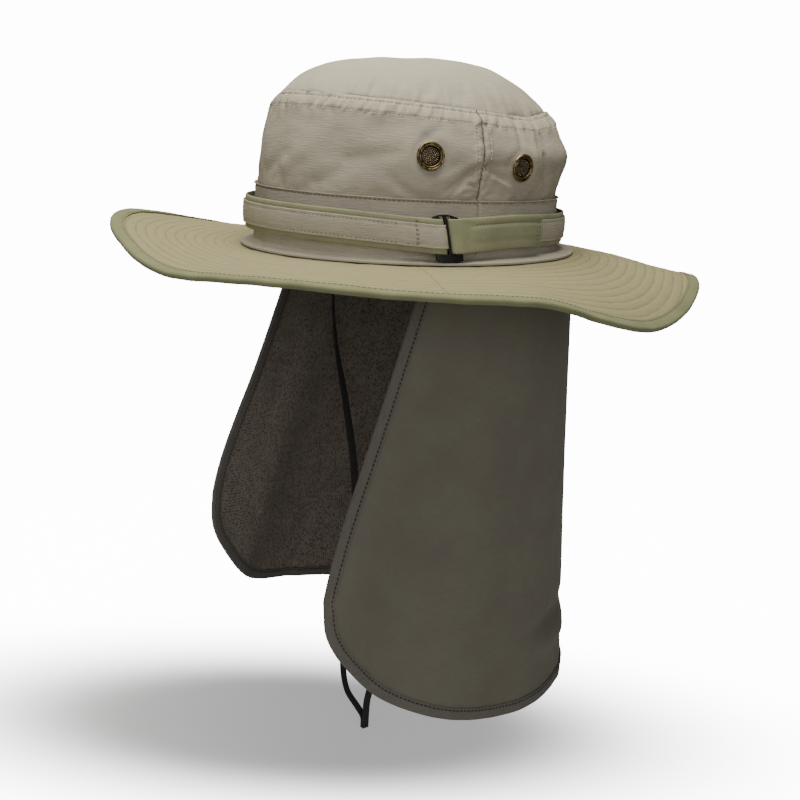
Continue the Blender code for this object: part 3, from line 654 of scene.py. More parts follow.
def webbing_route():
    """The webbing's way: sewn end, front bar, once round the head, rear bar, tail."""
    under, over, tail, buckle = band_levels()
    radius = buckle - under
    top = buckle + radius
    end = bar_end()
    sewn, whole = SEWN_END_LENGTH, band_length()
    route = [(-sewn, under), (-sewn * 0.6, under)]
    route += turn_round_bar(-1, radius, buckle)
    route += [(-end, top), (-end - 0.004, over + (top - over) * 0.25), (-end - 0.007, over)]
    route += [(-sewn - 0.001, over), (-sewn - 0.006, under)]
    route += [(place, under) for place in band_way(sewn + 0.010, sewn * 0.6 + 0.004)]
    route += [(-whole + sewn * 0.6, under)]
    route += [(-whole + place, out) for place, out in turn_round_bar(1, radius, buckle)]
    route += [(-whole + end, top), (-whole + end + 0.004, tail + (top - tail) * 0.25)]
    route += [(-whole + place, tail) for place in spread(end + 0.007, TAIL_LENGTH, 6)]
    return route


def strip_route():
    """The khaki strip's way over the webbing, from the fold at the front bar to under the tail."""
    under, over, tail, buckle = band_levels()
    lift = (BAND_CLOTH + STRIP_CLOTH) / 2 + CLEARANCE / 2
    radius = buckle - under
    top = buckle + radius
    end = bar_end()
    sewn = SEWN_END_LENGTH
    route = turn_round_bar(-1, radius + lift, buckle)[7:]
    route += [(-end, top + lift), (-end - 0.0045, over + lift + (top - over) * 0.25)]
    route += [(-end - 0.0075, over + lift), (-sewn - 0.0015, over + lift), (-sewn - 0.0065, under + lift)]
    route += [(place, under + lift) for place in band_way(sewn + 0.010, sewn * 0.9 + 0.004)]
    return route + [(-band_length() + sewn * 0.9, under + lift)]


def flap_point(place, share):
    """A point of the flap's middle sheet, from under the brim (0) to the hem (1)."""
    front = FLAP_LEFT_ANGLE if place > 0 else FLAP_RIGHT_ANGLE
    angle = 180 + (front - 180) * abs(place)
    attach = FLAP_ATTACH_FRONT + (FLAP_ATTACH_BACK - FLAP_ATTACH_FRONT) * (1 - place**2)
    under_brim = brim_top(angle, attach / BRIM_WIDTH) - BRIM_CLOTH - CLEARANCE * 3
    top = oval(angle, attach, under_brim)
    bow = (FLAP_BOW_LEFT if place > 0 else FLAP_BOW_RIGHT) * bell(1 - abs(place), 0.14)
    bow *= share**4 * (1 - share) / FLAP_BOW_PEAK
    hem = Vector([read_table(FLAP_HEM, place, column) for column in (1, 2, 3)])
    fold = sum(deep * bell(place - at, wide) for at, deep, wide in FLAP_FOLDS) * FLAP_FOLD_DEPTH
    fold += FLAP_WAVER * crumple(place * 7, share * 1.6, 2)
    fold += FLAP_UNEVEN * crumple(place * 26, share * 5, 6)
    fold *= min(1.0, share / 0.12)
    pinch = sum(
        deep * bell(place - at, wide) * bell(share - level, tall)
        for at, level, deep, wide, tall in FLAP_PINCHES
    )
    outward = oval(angle, 1.0) - oval(angle, 0.0)
    return top.lerp(hem, share) + outward * (fold * share**0.7 + pinch) - Vector((0, bow, 0))


def facing(place, u, v, size):
    """The outward direction of a surface place(u, v), where u runs along it and v up it."""
    across = place(u + size, v) - place(u - size, v)
    upward = place(u, v + size) - place(u, v - size)
    return across.cross(upward).normalized()


def linear(code):
    """Linear colour of an sRGB hex value."""
    parts = [int(code[i : i + 2], 16) / 255 for i in (1, 3, 5)]
    return [c / 12.92 if c <= 0.04045 else ((c + 0.055) / 1.055) ** 2.4 for c in parts] + [1.0]


def new_material(name):
    material = bpy.data.materials.new(name)
    material.use_nodes = True
    return material, material.node_tree, material.node_tree.nodes["Principled BSDF"]


def add_node(tree, kind, inputs=(), **settings):
    """Adds a node with its settings. Each input is a value or a socket to link."""
    node = tree.nodes.new(kind)
    for key, value in settings.items():
        setattr(node, key, value)
    for key, value in dict(inputs).items():
        if isinstance(value, bpy.types.NodeSocket):
            tree.links.new(value, node.inputs[key])
        else:
            node.inputs[key].default_value = value
    return node


def calculate(tree, operation, *values):
    """The result of a Math node."""
    return add_node(tree, "ShaderNodeMath", dict(enumerate(values)), operation=operation).outputs[0]


def remap(tree, value, low, high, to_low=0.0, to_high=1.0, **settings):
    """A value between low and high, brought between two others."""
    ends = {0: value, 1: low, 2: high, 3: to_low, 4: to_high}
    return add_node(tree, "ShaderNodeMapRange", ends, **settings).outputs[0]


def mottle(tree, where, scale, detail):
    """Soft noise from 0 to 1."""
    return add_node(
        tree, "ShaderNodeTexNoise", {"Vector": where, "Scale": scale, "Detail": detail}
    ).outputs["Fac"]


def threads(tree, uv, distortion, way="X"):
    """Threads one way, WEAVE_PITCH apart: a wave texture of scale 0.314 has one to the metre."""
    waves = {"Vector": uv, "Scale": 0.314 / WEAVE_PITCH, "Distortion": distortion, "Detail": 1}
    return add_node(tree, "ShaderNodeTexWave", waves, bands_direction=way).outputs["Fac"]


def blend(tree, amount, first, second):
    """A mix of two colours. Each is a socket or an sRGB hex value."""
    first, second = (linear(end) if isinstance(end, str) else end for end in (first, second))
    return add_node(
        tree, "ShaderNodeMix", {0: amount, 6: first, 7: second}, data_type="RGBA"
    ).outputs[2]


def surface(tree, shader, colour, height, depth, roughness, specular=0.5, sheen=0.0, **bump):
    """Gives a shader its colour, its bump of this depth in metres, and how it shines."""
    relief = {"Height": height, "Distance": depth, "Strength": 1.0}
    tree.links.new(add_node(tree, "ShaderNodeBump", relief, **bump).outputs[0], shader.inputs["Normal"])
    if isinstance(colour, str):
        shader.inputs["Base Color"].default_value = linear(colour)
    else:
        tree.links.new(colour, shader.inputs["Base Color"])
    shader.inputs["Roughness"].default_value = roughness
    shader.inputs["Specular IOR Level"].default_value = specular
    shader.inputs["Sheen Weight"].default_value = sheen


def painted_quilting_shade(tree, uv, colour, shade):
    """Paints shade into a colour along the sewn valleys of the brim, whose UV map gives the distance from the
    head.
    """
    far = add_node(tree, "ShaderNodeSeparateXYZ", {0: uv}).outputs["Y"]
    row = calculate(tree, "MULTIPLY_ADD", far, 1 / QUILT_STEP, -QUILT_FIRST / QUILT_STEP)
    apart = calculate(tree, "PINGPONG", row, 0.5)
    line = remap(tree, apart, 0.0, 0.17, 1.0, 0.0, interpolation_type="SMOOTHSTEP")
    sewn = calculate(tree, "MULTIPLY", line, calculate(tree, "GREATER_THAN", row, -0.3))
    return blend(tree, calculate(tree, "MULTIPLY", sewn, mottle(tree, uv, 130, 2)), colour, shade)


def woven(name, light, dark, tint, slub, depth, roughness, sheen=0.0, quilted=None):
    """Plain woven cloth on a UV map in metres: threads both ways, crosswise slubs, uneven dye."""
    material, tree, shader = new_material(name)
    uv = add_node(tree, "ShaderNodeTexCoord").outputs["UV"]
    streaks = add_node(tree, "ShaderNodeMapping", {"Vector": uv, "Scale": (150, 1300, 1)}).outputs[0]
    slubs = mottle(tree, streaks, 1, 3)
    weave = calculate(tree, "ADD", threads(tree, uv, 1.5), threads(tree, uv, 1.5, "Y"))
    height = calculate(tree, "MULTIPLY_ADD", slubs, slub, weave)
    colour = blend(tree, remap(tree, slubs, 0.25, 0.75), dark, light)
    colour = blend(tree, remap(tree, mottle(tree, uv, 38, 3), 0.35, 0.80, 0.0, 0.75), colour, tint)
    if quilted:
        # Painted shade of the brim's sewn valleys.
        colour = painted_quilting_shade(tree, uv, colour, quilted)
    surface(tree, shader, colour, height, depth, roughness, 0.2, sheen)
    return material


def ribbed(name, light, dark, depth, roughness):
    """Ribbed tape on the piece's own UV map in metres: ribs across its length, lighter where they stand
    higher.
    """
    material, tree, shader = new_material(name)
    uv = add_node(tree, "ShaderNodeTexCoord").outputs["UV"]
    height = calculate(tree, "MULTIPLY_ADD", mottle(tree, uv, 900, 3), 0.8, threads(tree, uv, 0.6))
    tone = calculate(tree, "MULTIPLY_ADD", height, 0.35, mottle(tree, uv, 70, 4))
    colour = blend(tree, remap(tree, tone, 0.50, 1.10), dark, light)
    surface(tree, shader, colour, height, depth, roughness, 0.2, 0.05)
    return material


def knitted_mesh():
    """Warp-knitted polyester mesh: slanting rows of dark holes between loops. Drawn at 1.2 mm to show."""
    material, tree, shader = new_material("knitted polyester mesh")
    uv = add_node(tree, "ShaderNodeTexCoord").outputs["UV"]
    slant = {"Vector": uv, "Rotation": (0, 0, math.radians(32)), "Scale": (1.0, 0.55, 1.0)}
    turned = add_node(tree, "ShaderNodeMapping", slant).outputs[0]
    loops = add_node(tree, "ShaderNodeTexVoronoi", {"Vector": turned, "Scale": 860, "Randomness": 0.45})
    hole = remap(tree, loops.outputs["Distance"], 0.45, 0.18)
    yarn = blend(tree, mottle(tree, uv, 60, 4), "#6d6457", "#8d8375")
    surface(tree, shader, blend(tree, hole, yarn, "#2a2520"), hole, 0.0002, 0.85, invert=True)
    return material


def moulded_plastic():
    """Injection-moulded acetal: near black, fine spark-eroded grain, soft highlights."""
    material, tree, shader = new_material("moulded acetal")
    where = add_node(tree, "ShaderNodeTexCoord").outputs["Object"]
    surface(tree, shader, "#0d0e0d", mottle(tree, where, 2500, 2), 0.00003, 0.42, 0.35)
    return material


def antique_brass(name, light, dark):
    """Antiqued brass: stamped, dark in its hollows and rubbed bright on its rim."""
    material, tree, shader = new_material(name)
    where = add_node(tree, "ShaderNodeTexCoord").outputs["Object"]
    patina = mottle(tree, where, 700, 5)
    surface(tree, shader, blend(tree, remap(tree, patina, 0.35, 0.65), dark, light), patina, 0.00004, 0.36)
    shader.inputs["Metallic"].default_value = 1.0
    return material


def spun_thread(name, code):
    """Spun polyester thread: matt, with a twist too fine to draw, so a slight unevenness stands for it."""
    material, tree, shader = new_material(name)
    where = add_node(tree, "ShaderNodeTexCoord").outputs["Object"]
    surface(tree, shader, code, mottle(tree, where, 1500, 1), 0.0001, 0.8, sheen=0.2)
    return material


# Taslan nylon of the crown: dry, a warm grey khaki with fine crosswise slubs.
CROWN_NYLON = woven("taslan nylon, crown", "#a39c89", "#948d7b", "#9a9184", 16.0, 0.000015, 0.9)
# The same cloth on the quilted brim: yellower, darker than the crown's as painted shade, and with painted
# shade in its sewn valleys.
BRIM_NYLON_SHADED = woven(
    "taslan nylon, brim", "#928b69", "#87805e", "#8b8465", 12.0, 0.000015, 0.9, quilted="#665f45"
)
# Smooth microfibre of the flap: even and dense, with almost no shine.
FLAP_CLOTH_FINISH = woven("polyester microfibre", "#6c695b", "#656255", "#635d51", 1.0, 0.00001, 0.8, 0.05)
# The flap's binding, cut from the same microfibre on the bias.
FLAP_TAPE_FINISH = woven("bias-cut microfibre", "#6a665c", "#5d5951", "#5f5b52", 0.6, 0.00006, 0.8, 0.05)
# Flat braided tape of the chin strap.
CHIN_TAPE = woven("braided polyester tape", "#3d3c38", "#262522", "#33322f", 0.6, 0.00012, 0.8, 0.10)
# Olive twill tape of the binding, pressed flat, so its ribs hardly show.
BINDING_TAPE = ribbed("cotton twill tape", "#7b7c5c", "#6c6d4e", 0.00004, 0.9)
# Olive webbing of the hat band, with fine ribs.
BAND_TAPE = ribbed("polypropylene webbing", "#8d8e70", "#7b7c60", 0.00006, 0.85)
# Threads, from the seams' palest to the bindings' darkest.
PALE_THREAD = spun_thread("pale khaki polyester thread", "#bdb59e")
KHAKI_THREAD = spun_thread("khaki polyester thread", "#857c64")
SEAM_THREAD = spun_thread("grey khaki polyester thread", "#8c836f")
BROWN_THREAD = spun_thread("brown polyester thread", "#5e5346")
OLIVE_THREAD = spun_thread("olive polyester thread", "#55573f")
# Darker than the thread alone: along the flap's binding it also stands for painted shade of the tape's edge
# and groove.
DARK_THREAD_AND_SHADE = spun_thread("dark polyester thread", "#1f1d19")
# Mesh inside the flap, black plastic of the slider, and brass of the vents.
KNITTED_MESH = knitted_mesh()
BUCKLE_PLASTIC = moulded_plastic()
RING_BRASS = antique_brass("antique brass", "#8d7c55", "#3b3121")
MESH_BRASS = antique_brass("blackened brass", "#3c352a", "#211c16")
DOT_BRASS = antique_brass("rubbed brass dots", "#c2b491", "#8d7f62")


def apply_modifiers(piece):
    bpy.context.view_layer.objects.active = piece
    for modifier in list(piece.modifiers):
        bpy.ops.object.modifier_apply(modifier=modifier.name)


def edit_all(piece):
    """Enters edit mode with every vertex of the piece selected."""
    bpy.ops.object.select_all(action="DESELECT")
    piece.select_set(True)
    bpy.context.view_layer.objects.active = piece
    bpy.ops.object.mode_set(mode="EDIT")
    bpy.ops.mesh.select_all(action="SELECT")


def leave_edit():
    """Turns every face of the edited piece outwards and leaves edit mode."""
    bpy.ops.mesh.select_all(action="SELECT")
    bpy.ops.mesh.normals_make_consistent(inside=False)
    bpy.ops.object.mode_set(mode="OBJECT")


def close_ends(piece):
    """Caps the open ends of a tube."""
    edit_all(piece)
    bpy.ops.mesh.select_all(action="DESELECT")
    bpy.ops.mesh.select_non_manifold()
    bpy.ops.mesh.edge_face_add()
    leave_edit()


def lay_cloth(name, along, across, place, closed=False, flat=None):
    """A sheet laid on place(u, v): a flat grid whose points are moved, with its lengths as its UV map.

    Where flat is given, flat(u, v) is the place on the UV map instead.
    """
    bpy.ops.object.select_all(action="DESELECT")
    bpy.ops.mesh.primitive_grid_add(
        x_subdivisions=len(along) - 1, y_subdivisions=len(across) - 1, size=1, calc_uvs=True
    )
    piece = bpy.context.object
    piece.name = name
    mesh = piece.data
    mesh.name = name
    corners = np.empty(len(mesh.vertices) * 3)
    mesh.vertices.foreach_get("co", corners)
    corners = corners.reshape(-1, 3) + 0.5
    columns = np.rint(corners[:, 0] * (len(along) - 1)).astype(int)
    rows = np.rint(corners[:, 1] * (len(across) - 1)).astype(int)
    points = np.array([[place(u, v) for v in across] for u in along])
    mesh.vertices.foreach_set("co", points[columns, rows].ravel())
    middle_row, middle_column = len(across) // 2, len(along) // 2
    far = np.linalg.norm(np.diff(points[:, middle_row], axis=0), axis=1)
    high = np.linalg.norm(np.diff(points[middle_column], axis=0), axis=1)
    lengths = np.concatenate([[0], np.cumsum(far)])
    heights = np.concatenate([[0], np.cumsum(high)])
    corner_of = np.empty(len(mesh.loops), dtype=int)
    mesh.loops.foreach_get("vertex_index", corner_of)
    uv = np.stack([lengths[columns[corner_of]], heights[rows[corner_of]]], axis=1)
    if flat:
        spots = np.array([[flat(u, v) for v in across] for u in along])
        uv = spots[columns[corner_of], rows[corner_of]]
    mesh.uv_layers[0].data.foreach_set("uv", uv.ravel())
    if closed:
        edit_all(piece)
        bpy.ops.mesh.remove_doubles(threshold=0.000002)
        leave_edit()
    return piece


def give_wall(piece, thickness, offset=-1.0, lining=False):
    """Gives a sheet its thickness and soft edges. A lining is the second material, on its inner face."""
    wall = piece.modifiers.new("wall", "SOLIDIFY")
    wall.thickness = thickness
    wall.offset = offset
    wall.use_even_offset = True
    wall.material_offset = 1 if lining else 0
    edge = piece.modifiers.new("soft edge", "BEVEL")
    edge.width = thickness * 0.38
    edge.segments = 2
    edge.limit_method = "ANGLE"
    edge.angle_limit = math.radians(60)
    apply_modifiers(piece)
    return piece


def dress(piece, finish, slot, *nodes):
    """Gives a piece its material, and lets it stand for its CAD nodes."""
    for material in finish if isinstance(finish, tuple) else (finish,):
        piece.data.materials.append(material)
    bpy.ops.object.select_all(action="DESELECT")
    piece.select_set(True)
    bpy.context.view_layer.objects.active = piece
    bpy.ops.object.shade_smooth_by_angle(angle=math.radians(50))
    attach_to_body(piece, "root")
    if nodes:
        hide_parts(*nodes)
    return piece


def walk(points, step):
    """Places a step apart on a line through points, as pairs of place and direction."""
    points = np.array(points)
    gaps = np.linalg.norm(np.diff(points, axis=0), axis=1)
    length = np.concatenate([[0], np.cumsum(gaps)])
    places = np.arange(step / 2, length[-1], step)
    here, ahead, behind = (
        np.stack([np.interp(places + shift, length, points[:, k]) for k in range(3)], axis=1)
        for shift in (0, step * 0.4, -step * 0.4)
    )
    return here, ahead - behind


def one_stitch():
    """A stitch's shape: a small round grain, one unit in half length and half width."""
    bpy.ops.object.select_all(action="DESELECT")
    bpy.ops.mesh.primitive_uv_sphere_add(segments=5, ring_count=3, radius=1)
    grain = bpy.context.object
    shape = np.array([vertex.co for vertex in grain.data.vertices])[:, [2, 0, 1]]
    faces = [list(face.vertices) for face in grain.data.polygons]
    bpy.data.objects.remove(grain)
    return shape, faces


STITCH_SHAPE, STITCH_FACES = one_stitch()


def sew(name, rows, thread, slot, step=STITCH, width=0.00055, share=0.66):
    """Rows of stitches as one piece. Each row is a list of pairs of place and outward direction."""
    grains = []
    for row in rows:
        places, ways = walk([place for place, _ in row], step)
        _, outs = zip(*row)
        shares = np.linspace(0, 1, len(outs))
        outs = np.array(outs)
        at = np.linspace(0, 1, len(places)) if len(places) > 1 else np.array([0.5])
        faces_out = np.stack([np.interp(at, shares, outs[:, k]) for k in range(3)], axis=1)
        ways /= np.linalg.norm(ways, axis=1, keepdims=True)
        sides = np.cross(ways, faces_out)
        sides /= np.linalg.norm(sides, axis=1, keepdims=True)
        faces_out = np.cross(sides, ways)
        for place, way, side, out in zip(places, ways, sides, faces_out):
            grain = (
                np.outer(STITCH_SHAPE[:, 0], way * step * share / 2)
                + np.outer(STITCH_SHAPE[:, 1], side * width / 2)
                + np.outer(STITCH_SHAPE[:, 2], out * width * 0.38)
            )
            grains.append(place + out * width * 0.20 + grain)
    count = len(STITCH_SHAPE)
    faces = [[corner + k * count for corner in face] for k in range(len(grains)) for face in STITCH_FACES]
    mesh = bpy.data.meshes.new(name)
    mesh.from_pydata(np.concatenate(grains), [], faces)
    piece = bpy.data.objects.new(name, mesh)
    bpy.context.scene.collection.objects.link(piece)
    edit_all(piece)
    leave_edit()
    return dress(piece, thread, slot)


def surface_row(place, pairs, size, lift=0.0):
    """A row for sewing along a surface, through pairs of (u, v)."""
    row = []
    for u, v in pairs:
        out = facing(place, u, v, size)
        row.append((place(u, v) + out * lift, out))
    return row


def set_camera():
    turn, rise, roll = (math.radians(value) for value in (VIEW_TURN, VIEW_RISE, VIEW_ROLL))
    back = Vector((math.sin(turn) * math.cos(rise), -math.cos(turn) * math.cos(rise), math.sin(rise)))
    centre = Vector(VIEW_CENTRE)
    eye = centre + back * VIEW_DISTANCE
    target = centre + Vector((math.cos(turn), math.sin(turn), 0)) * VIEW_ASIDE - Vector((0, 0, VIEW_DROP))
    forward = (target - eye).normalized()
    right = forward.cross(Vector((0, 0, 1))).normalized()
    up = right.cross(forward)
    rolled_right = right * math.cos(roll) + up * math.sin(roll)
    rolled_up = up * math.cos(roll) - right * math.sin(roll)
    lens = bpy.data.cameras.new("camera")
    lens.sensor_width = 36
    lens.lens = VIEW_FOCUS / 800 * 36
    camera = bpy.data.objects.new("camera", lens)
    axes = Matrix((rolled_right, rolled_up, -forward)).transposed().to_4x4()
    camera.matrix_world = Matrix.Translation(eye) @ axes
    bpy.context.scene.collection.objects.link(camera)
    bpy.context.scene.camera = camera


def strap_frames(rows, step):
    """Places a step apart on a smooth curve through a strap's rows, with the tape's width and face."""
    table, length = [], 0.0
    for i, row in enumerate(rows):
        if i:
            length += (Vector(row[:3]) - Vector(rows[i - 1][:3])).length
        table.append((length, *row))
    frames = []
    for distance in spread(0, length, round(length / step)):
        place, before, after = (
            Vector([read_table(table, near, column) for column in (1, 2, 3)])
            for near in (distance, max(0, distance - 0.001), min(length, distance + 0.001))
        )
        along = (after - before).normalized()
        turn = math.radians(read_table(table, distance, 4))
        width = Vector((math.cos(turn), math.sin(turn), 0))
        width = (width - along * width.dot(along)).normalized()
        frames.append((place, width, along.cross(width)))
    return frames


def make_strap_half(name, rows):
    """One half of the chin strap: a tape folded lengthwise, flat with round edges and a sewn groove."""
    frames = strap_frames(rows, 0.0025)
    steps = 20

    def place(index, around):
        middle, width, face = frames[index]
        turn = 2 * math.pi * around / steps
        wide = math.copysign(abs(math.cos(turn)) ** 0.6, math.cos(turn)) * CHIN_STRAP_WIDTH / 2
        thick = math.copysign(abs(math.sin(turn)) ** 0.5, math.sin(turn)) * CHIN_STRAP_THICKNESS / 2
        thick *= 1 - 0.45 * bell(wide - CHIN_STRAP_GROOVE, 0.0005)
        return middle + width * wide + face * thick

    piece = lay_cloth(f"strap_{name}", list(range(len(frames))), list(range(steps + 1)), place, closed=True)
    close_ends(piece)
    dress(piece, CHIN_TAPE, "chin_tape", f"chin_strap_{name}")
    return piece, frames


def make_chin_strap():
    """The chin strap's two halves, sewn to the inside of the crown and to each other at their ends."""
    rows = []
    for side, table in (("left", CHIN_STRAP_LEFT), ("right", CHIN_STRAP_RIGHT)):
        piece, frames = make_strap_half(side, table)
        path = [place for place, _, _ in frames]
        length = sum((b - a).length for a, b in zip(path, path[1:]))
        tuple(path[0])
        [tuple(place) for place in path]
        for sign in (-1, 1):
            aside, lift = CHIN_STRAP_GROOVE, sign * CHIN_STRAP_THICKNESS * 0.28
            rows.append([(at + width * aside + face * lift, face * sign) for at, width, face in frames])
    sew("chin_strap_stitches", rows, DARK_THREAD_AND_SHADE, "chin_tape", step=0.0022, width=0.00045)
    tack = []
    for up in (0.0025, 0.0035, 0.0070, 0.0080):
        for side, table in ((1, CHIN_STRAP_LEFT), (-1, CHIN_STRAP_RIGHT)):
            start = Vector(table[-1][:3]) + Vector((side * CHIN_STRAP_THICKNESS / 2, -0.0020, up))
            ahead = spread(0, 0.0040, 4)
            tack.append([(start + Vector((0, along, 0)), Vector((side, 0, 0))) for along in ahead])
    sew("chin_strap_tack", tack, DARK_THREAD_AND_SHADE, "chin_tape", step=0.0013, width=0.00045)


def marks(low, high, step, fine=()):
    """Values a step apart from low to high, with closer ones near each fine place."""
    values = spread(low, high, round((high - low) / step))
    for middle in fine:
        values += [middle + offset * step for offset in (-1.2, -0.8, -0.5, -0.25, 0, 0.25, 0.5, 0.8, 1.2)]
    values = sorted(value for value in values if low <= value <= high)
    kept = [values[0]]
    for value in values[1:-1]:
        if value - kept[-1] > step * 0.12 and high - value > step * 0.12:
            kept.append(value)
    return kept + [high]


def make_panels():
    """The two side panels, from the top seam down to their lap inside the base band."""
    half_gap = CLEARANCE / 2 / ARC
    tall = CROWN_HEIGHT - HEM_HEIGHT
    fine = [1 - drop / tall for drop in (0.0008, TOP_STITCH_DROP, SEAM_ALLOWANCE, SEAM_ALLOWANCE + 0.0010)]
    shares = marks(-HEM_LAP / tall, 1.0, 0.0011 / tall, fine)

    def front(turn, share):
        edge = seam_angle(share) - half_gap
        return panel_point(turn * edge, share)

    def back(turn, share):
        edge = 180 - seam_angle(share) - half_gap
        return panel_point(180 + turn * edge, share)

    for name, place, reach in (("front", front, 82), ("back", back, 98)):
        stitched = SEAM_STITCH_ASIDE / ARC / reach
        columns = marks(-1, 1, 0.68 / reach, (-1, -1 + stitched, 1 - stitched, 1))
        piece = lay_cloth(f"crown_side_{name}", columns, shares, place)
        give_wall(piece, CROWN_CLOTH)
        for angle, height in EYELETS:
            if (abs(turn_between(angle, 0)) < SIDE_SEAM_ANGLE) == (name == "front"):
                cut_hole(piece, angle, height)
        dress(piece, CROWN_NYLON, "khaki_cloth", f"side_panel_{name}")


def eyelet_frame(angle, height):
    """A matrix that stands an eyelet on the panel's outer face, with its axis outwards."""
    share = share_of(angle, height)
    place = panel_point(angle, share, bare=True)
    round_way = panel_point(angle + 1, share, True) - panel_point(angle - 1, share, True)
    upward = panel_point(angle, share + 0.05, True) - panel_point(angle, share - 0.05, True)
    out = round_way.cross(upward).normalized()
    return Matrix.Translation(place) @ out.to_track_quat("Z", "Y").to_matrix().to_4x4()


def cut_hole(panel, angle, height):
    """Cuts an eyelet's hole through a panel."""
    bpy.ops.object.select_all(action="DESELECT")
    bpy.ops.mesh.primitive_cylinder_add(vertices=48, radius=EYELET_BORE + 0.0009, depth=0.02)
    cutter = bpy.context.object
    cutter.data.transform(eyelet_frame(angle, height))
    cut = panel.modifiers.new("hole", "BOOLEAN")
    cut.operation = "DIFFERENCE"
    cut.object = cutter
    apply_modifiers(panel)
    bpy.data.objects.remove(cutter)


def make_top():
    """The domed top panel, a ring of cloth closed at its middle."""
    angles = spread(-180, 180, 500)
    shares = [0, 0.008, 0.016, 0.024] + [0.034 + 0.966 * (1 - (1 - k / 36) ** 1.3) for k in range(37)]
    piece = lay_cloth("crown_top", angles, shares, dome_point, closed=True)
    give_wall(piece, CROWN_CLOTH)
    dress(piece, CROWN_NYLON, "khaki_cloth", "top_panel")


def make_base_band():
    """The crown's lower band, sewn over the panels, with its flare out over the brim."""
    shares = marks(0, 1, 0.022, (0.012, 0.026))[::-1]
    angles = marks(-180, 180, 0.8, (-SIDE_SEAM_ANGLE, SIDE_SEAM_ANGLE))
    piece = lay_cloth("crown_base", angles, shares, base_point, closed=True)
    give_wall(piece, CROWN_CLOTH)
    dress(piece, CROWN_NYLON, "khaki_cloth", "base_band")


def make_crown_stitches():
    """Rows along the top seam, the side seams and the hem of the base band, and a brown row in each side
    seam's cleft as painted shade.
    """
    seam, pale, brown, zigzag = [], [], [], []
    for drop in (TOP_STITCH_DROP, SEAM_ALLOWANCE):
        pairs = [(angle, share_of(angle, seam_height(angle) - drop)) for angle in spread(-180, 180, 400)]
        seam.append(surface_row(panel_point, pairs, 0.004))
    for side in (1, -1):
        foot = share_of(side * SIDE_SEAM_ANGLE, BARTACK_HEIGHT)
        for aside in (-SEAM_STITCH_ASIDE, SEAM_STITCH_ASIDE):
            shares = spread(foot, 0.97, 40)
            pairs = [(side * (seam_angle(share) + aside / ARC), share) for share in shares]
            pale.append(surface_row(panel_point, pairs, 0.004, 0.0001))
        for k in range(5):
            pairs = [
                (side * (seam_angle(foot) + turn), foot - 0.012 * k + 0.01 * math.sin(turn * 2 + k))
                for turn in spread(-3.0, 3.2, 24)
            ]
            pale.append(surface_row(panel_point, pairs, 0.004, 0.0001))
        # A brown row down each side seam's cleft, on the panels and on the base band: painted shade of the
        # seam's groove.
        pairs = [(side * seam_angle(share), share) for share in spread(0.01, 0.97, 60)]
        brown.append(surface_row(panel_point, pairs, 0.004, 0.0011))
        pairs = [(side * SIDE_SEAM_ANGLE, share) for share in spread(0.04, 0.40, 12)]
        brown.append(surface_row(base_point, pairs, 0.003, 0.0008))
    hem_share = HEM_STITCH_DROP / HEM_HEIGHT * BASE_STRAIGHT
    seam_at = SIDE_SEAM_ANGLE
    for first, last in ((-seam_at, seam_at), (-180, -seam_at), (seam_at, 180)):
        pairs = [(angle, hem_share) for angle in spread(first, last, round((last - first) * 0.9))]
        row = surface_row(base_point, pairs, 0.003)
        row = [(place, out if out.dot(place) > 0 else -out) for place, out in row]
        brown.append(row)
        if first != -seam_at:
            sway = [Vector((0, 0, 0.0006 * (-1) ** k)) for k in range(len(row))]
            zigzag.append([(place + shift, out) for (place, out), shift in zip(row, sway)])
    sew("top_seam_stitches", seam, SEAM_THREAD, "khaki_cloth", step=0.0024, width=0.0006)
    sew("side_seam_stitches", pale, PALE_THREAD, "khaki_cloth", step=0.0021, width=0.0006)
    sew("hem_and_seam_shade_stitches", brown, BROWN_THREAD, "khaki_cloth")
    sew("hem_zigzag", zigzag, PALE_THREAD, "khaki_cloth", step=0.0019, width=0.0006)


def lathe(name, profile, sides):
    """A ring turned from pairs of radius and height: a circle, extruded round the profile and closed."""
    radius, height = profile[0]
    bpy.ops.object.select_all(action="DESELECT")
    bpy.ops.mesh.primitive_circle_add(vertices=sides, radius=radius, location=(0, 0, 0))
    ring = bpy.context.object
    ring.name = name
    edit_all(ring)
    bpy.ops.transform.translate(value=(0, 0, height))
    for next_radius, next_height in profile[1:]:
        grow = next_radius / radius
        bpy.ops.mesh.extrude_edges_move(TRANSFORM_OT_translate={"value": (0, 0, next_height - height)})
        bpy.ops.transform.resize(value=(grow, grow, 1))
        radius, height = next_radius, next_height
    bpy.ops.mesh.select_all(action="DESELECT")
    bpy.ops.mesh.select_non_manifold()
    bpy.ops.mesh.bridge_edge_loops()
    leave_edit()
    return ring


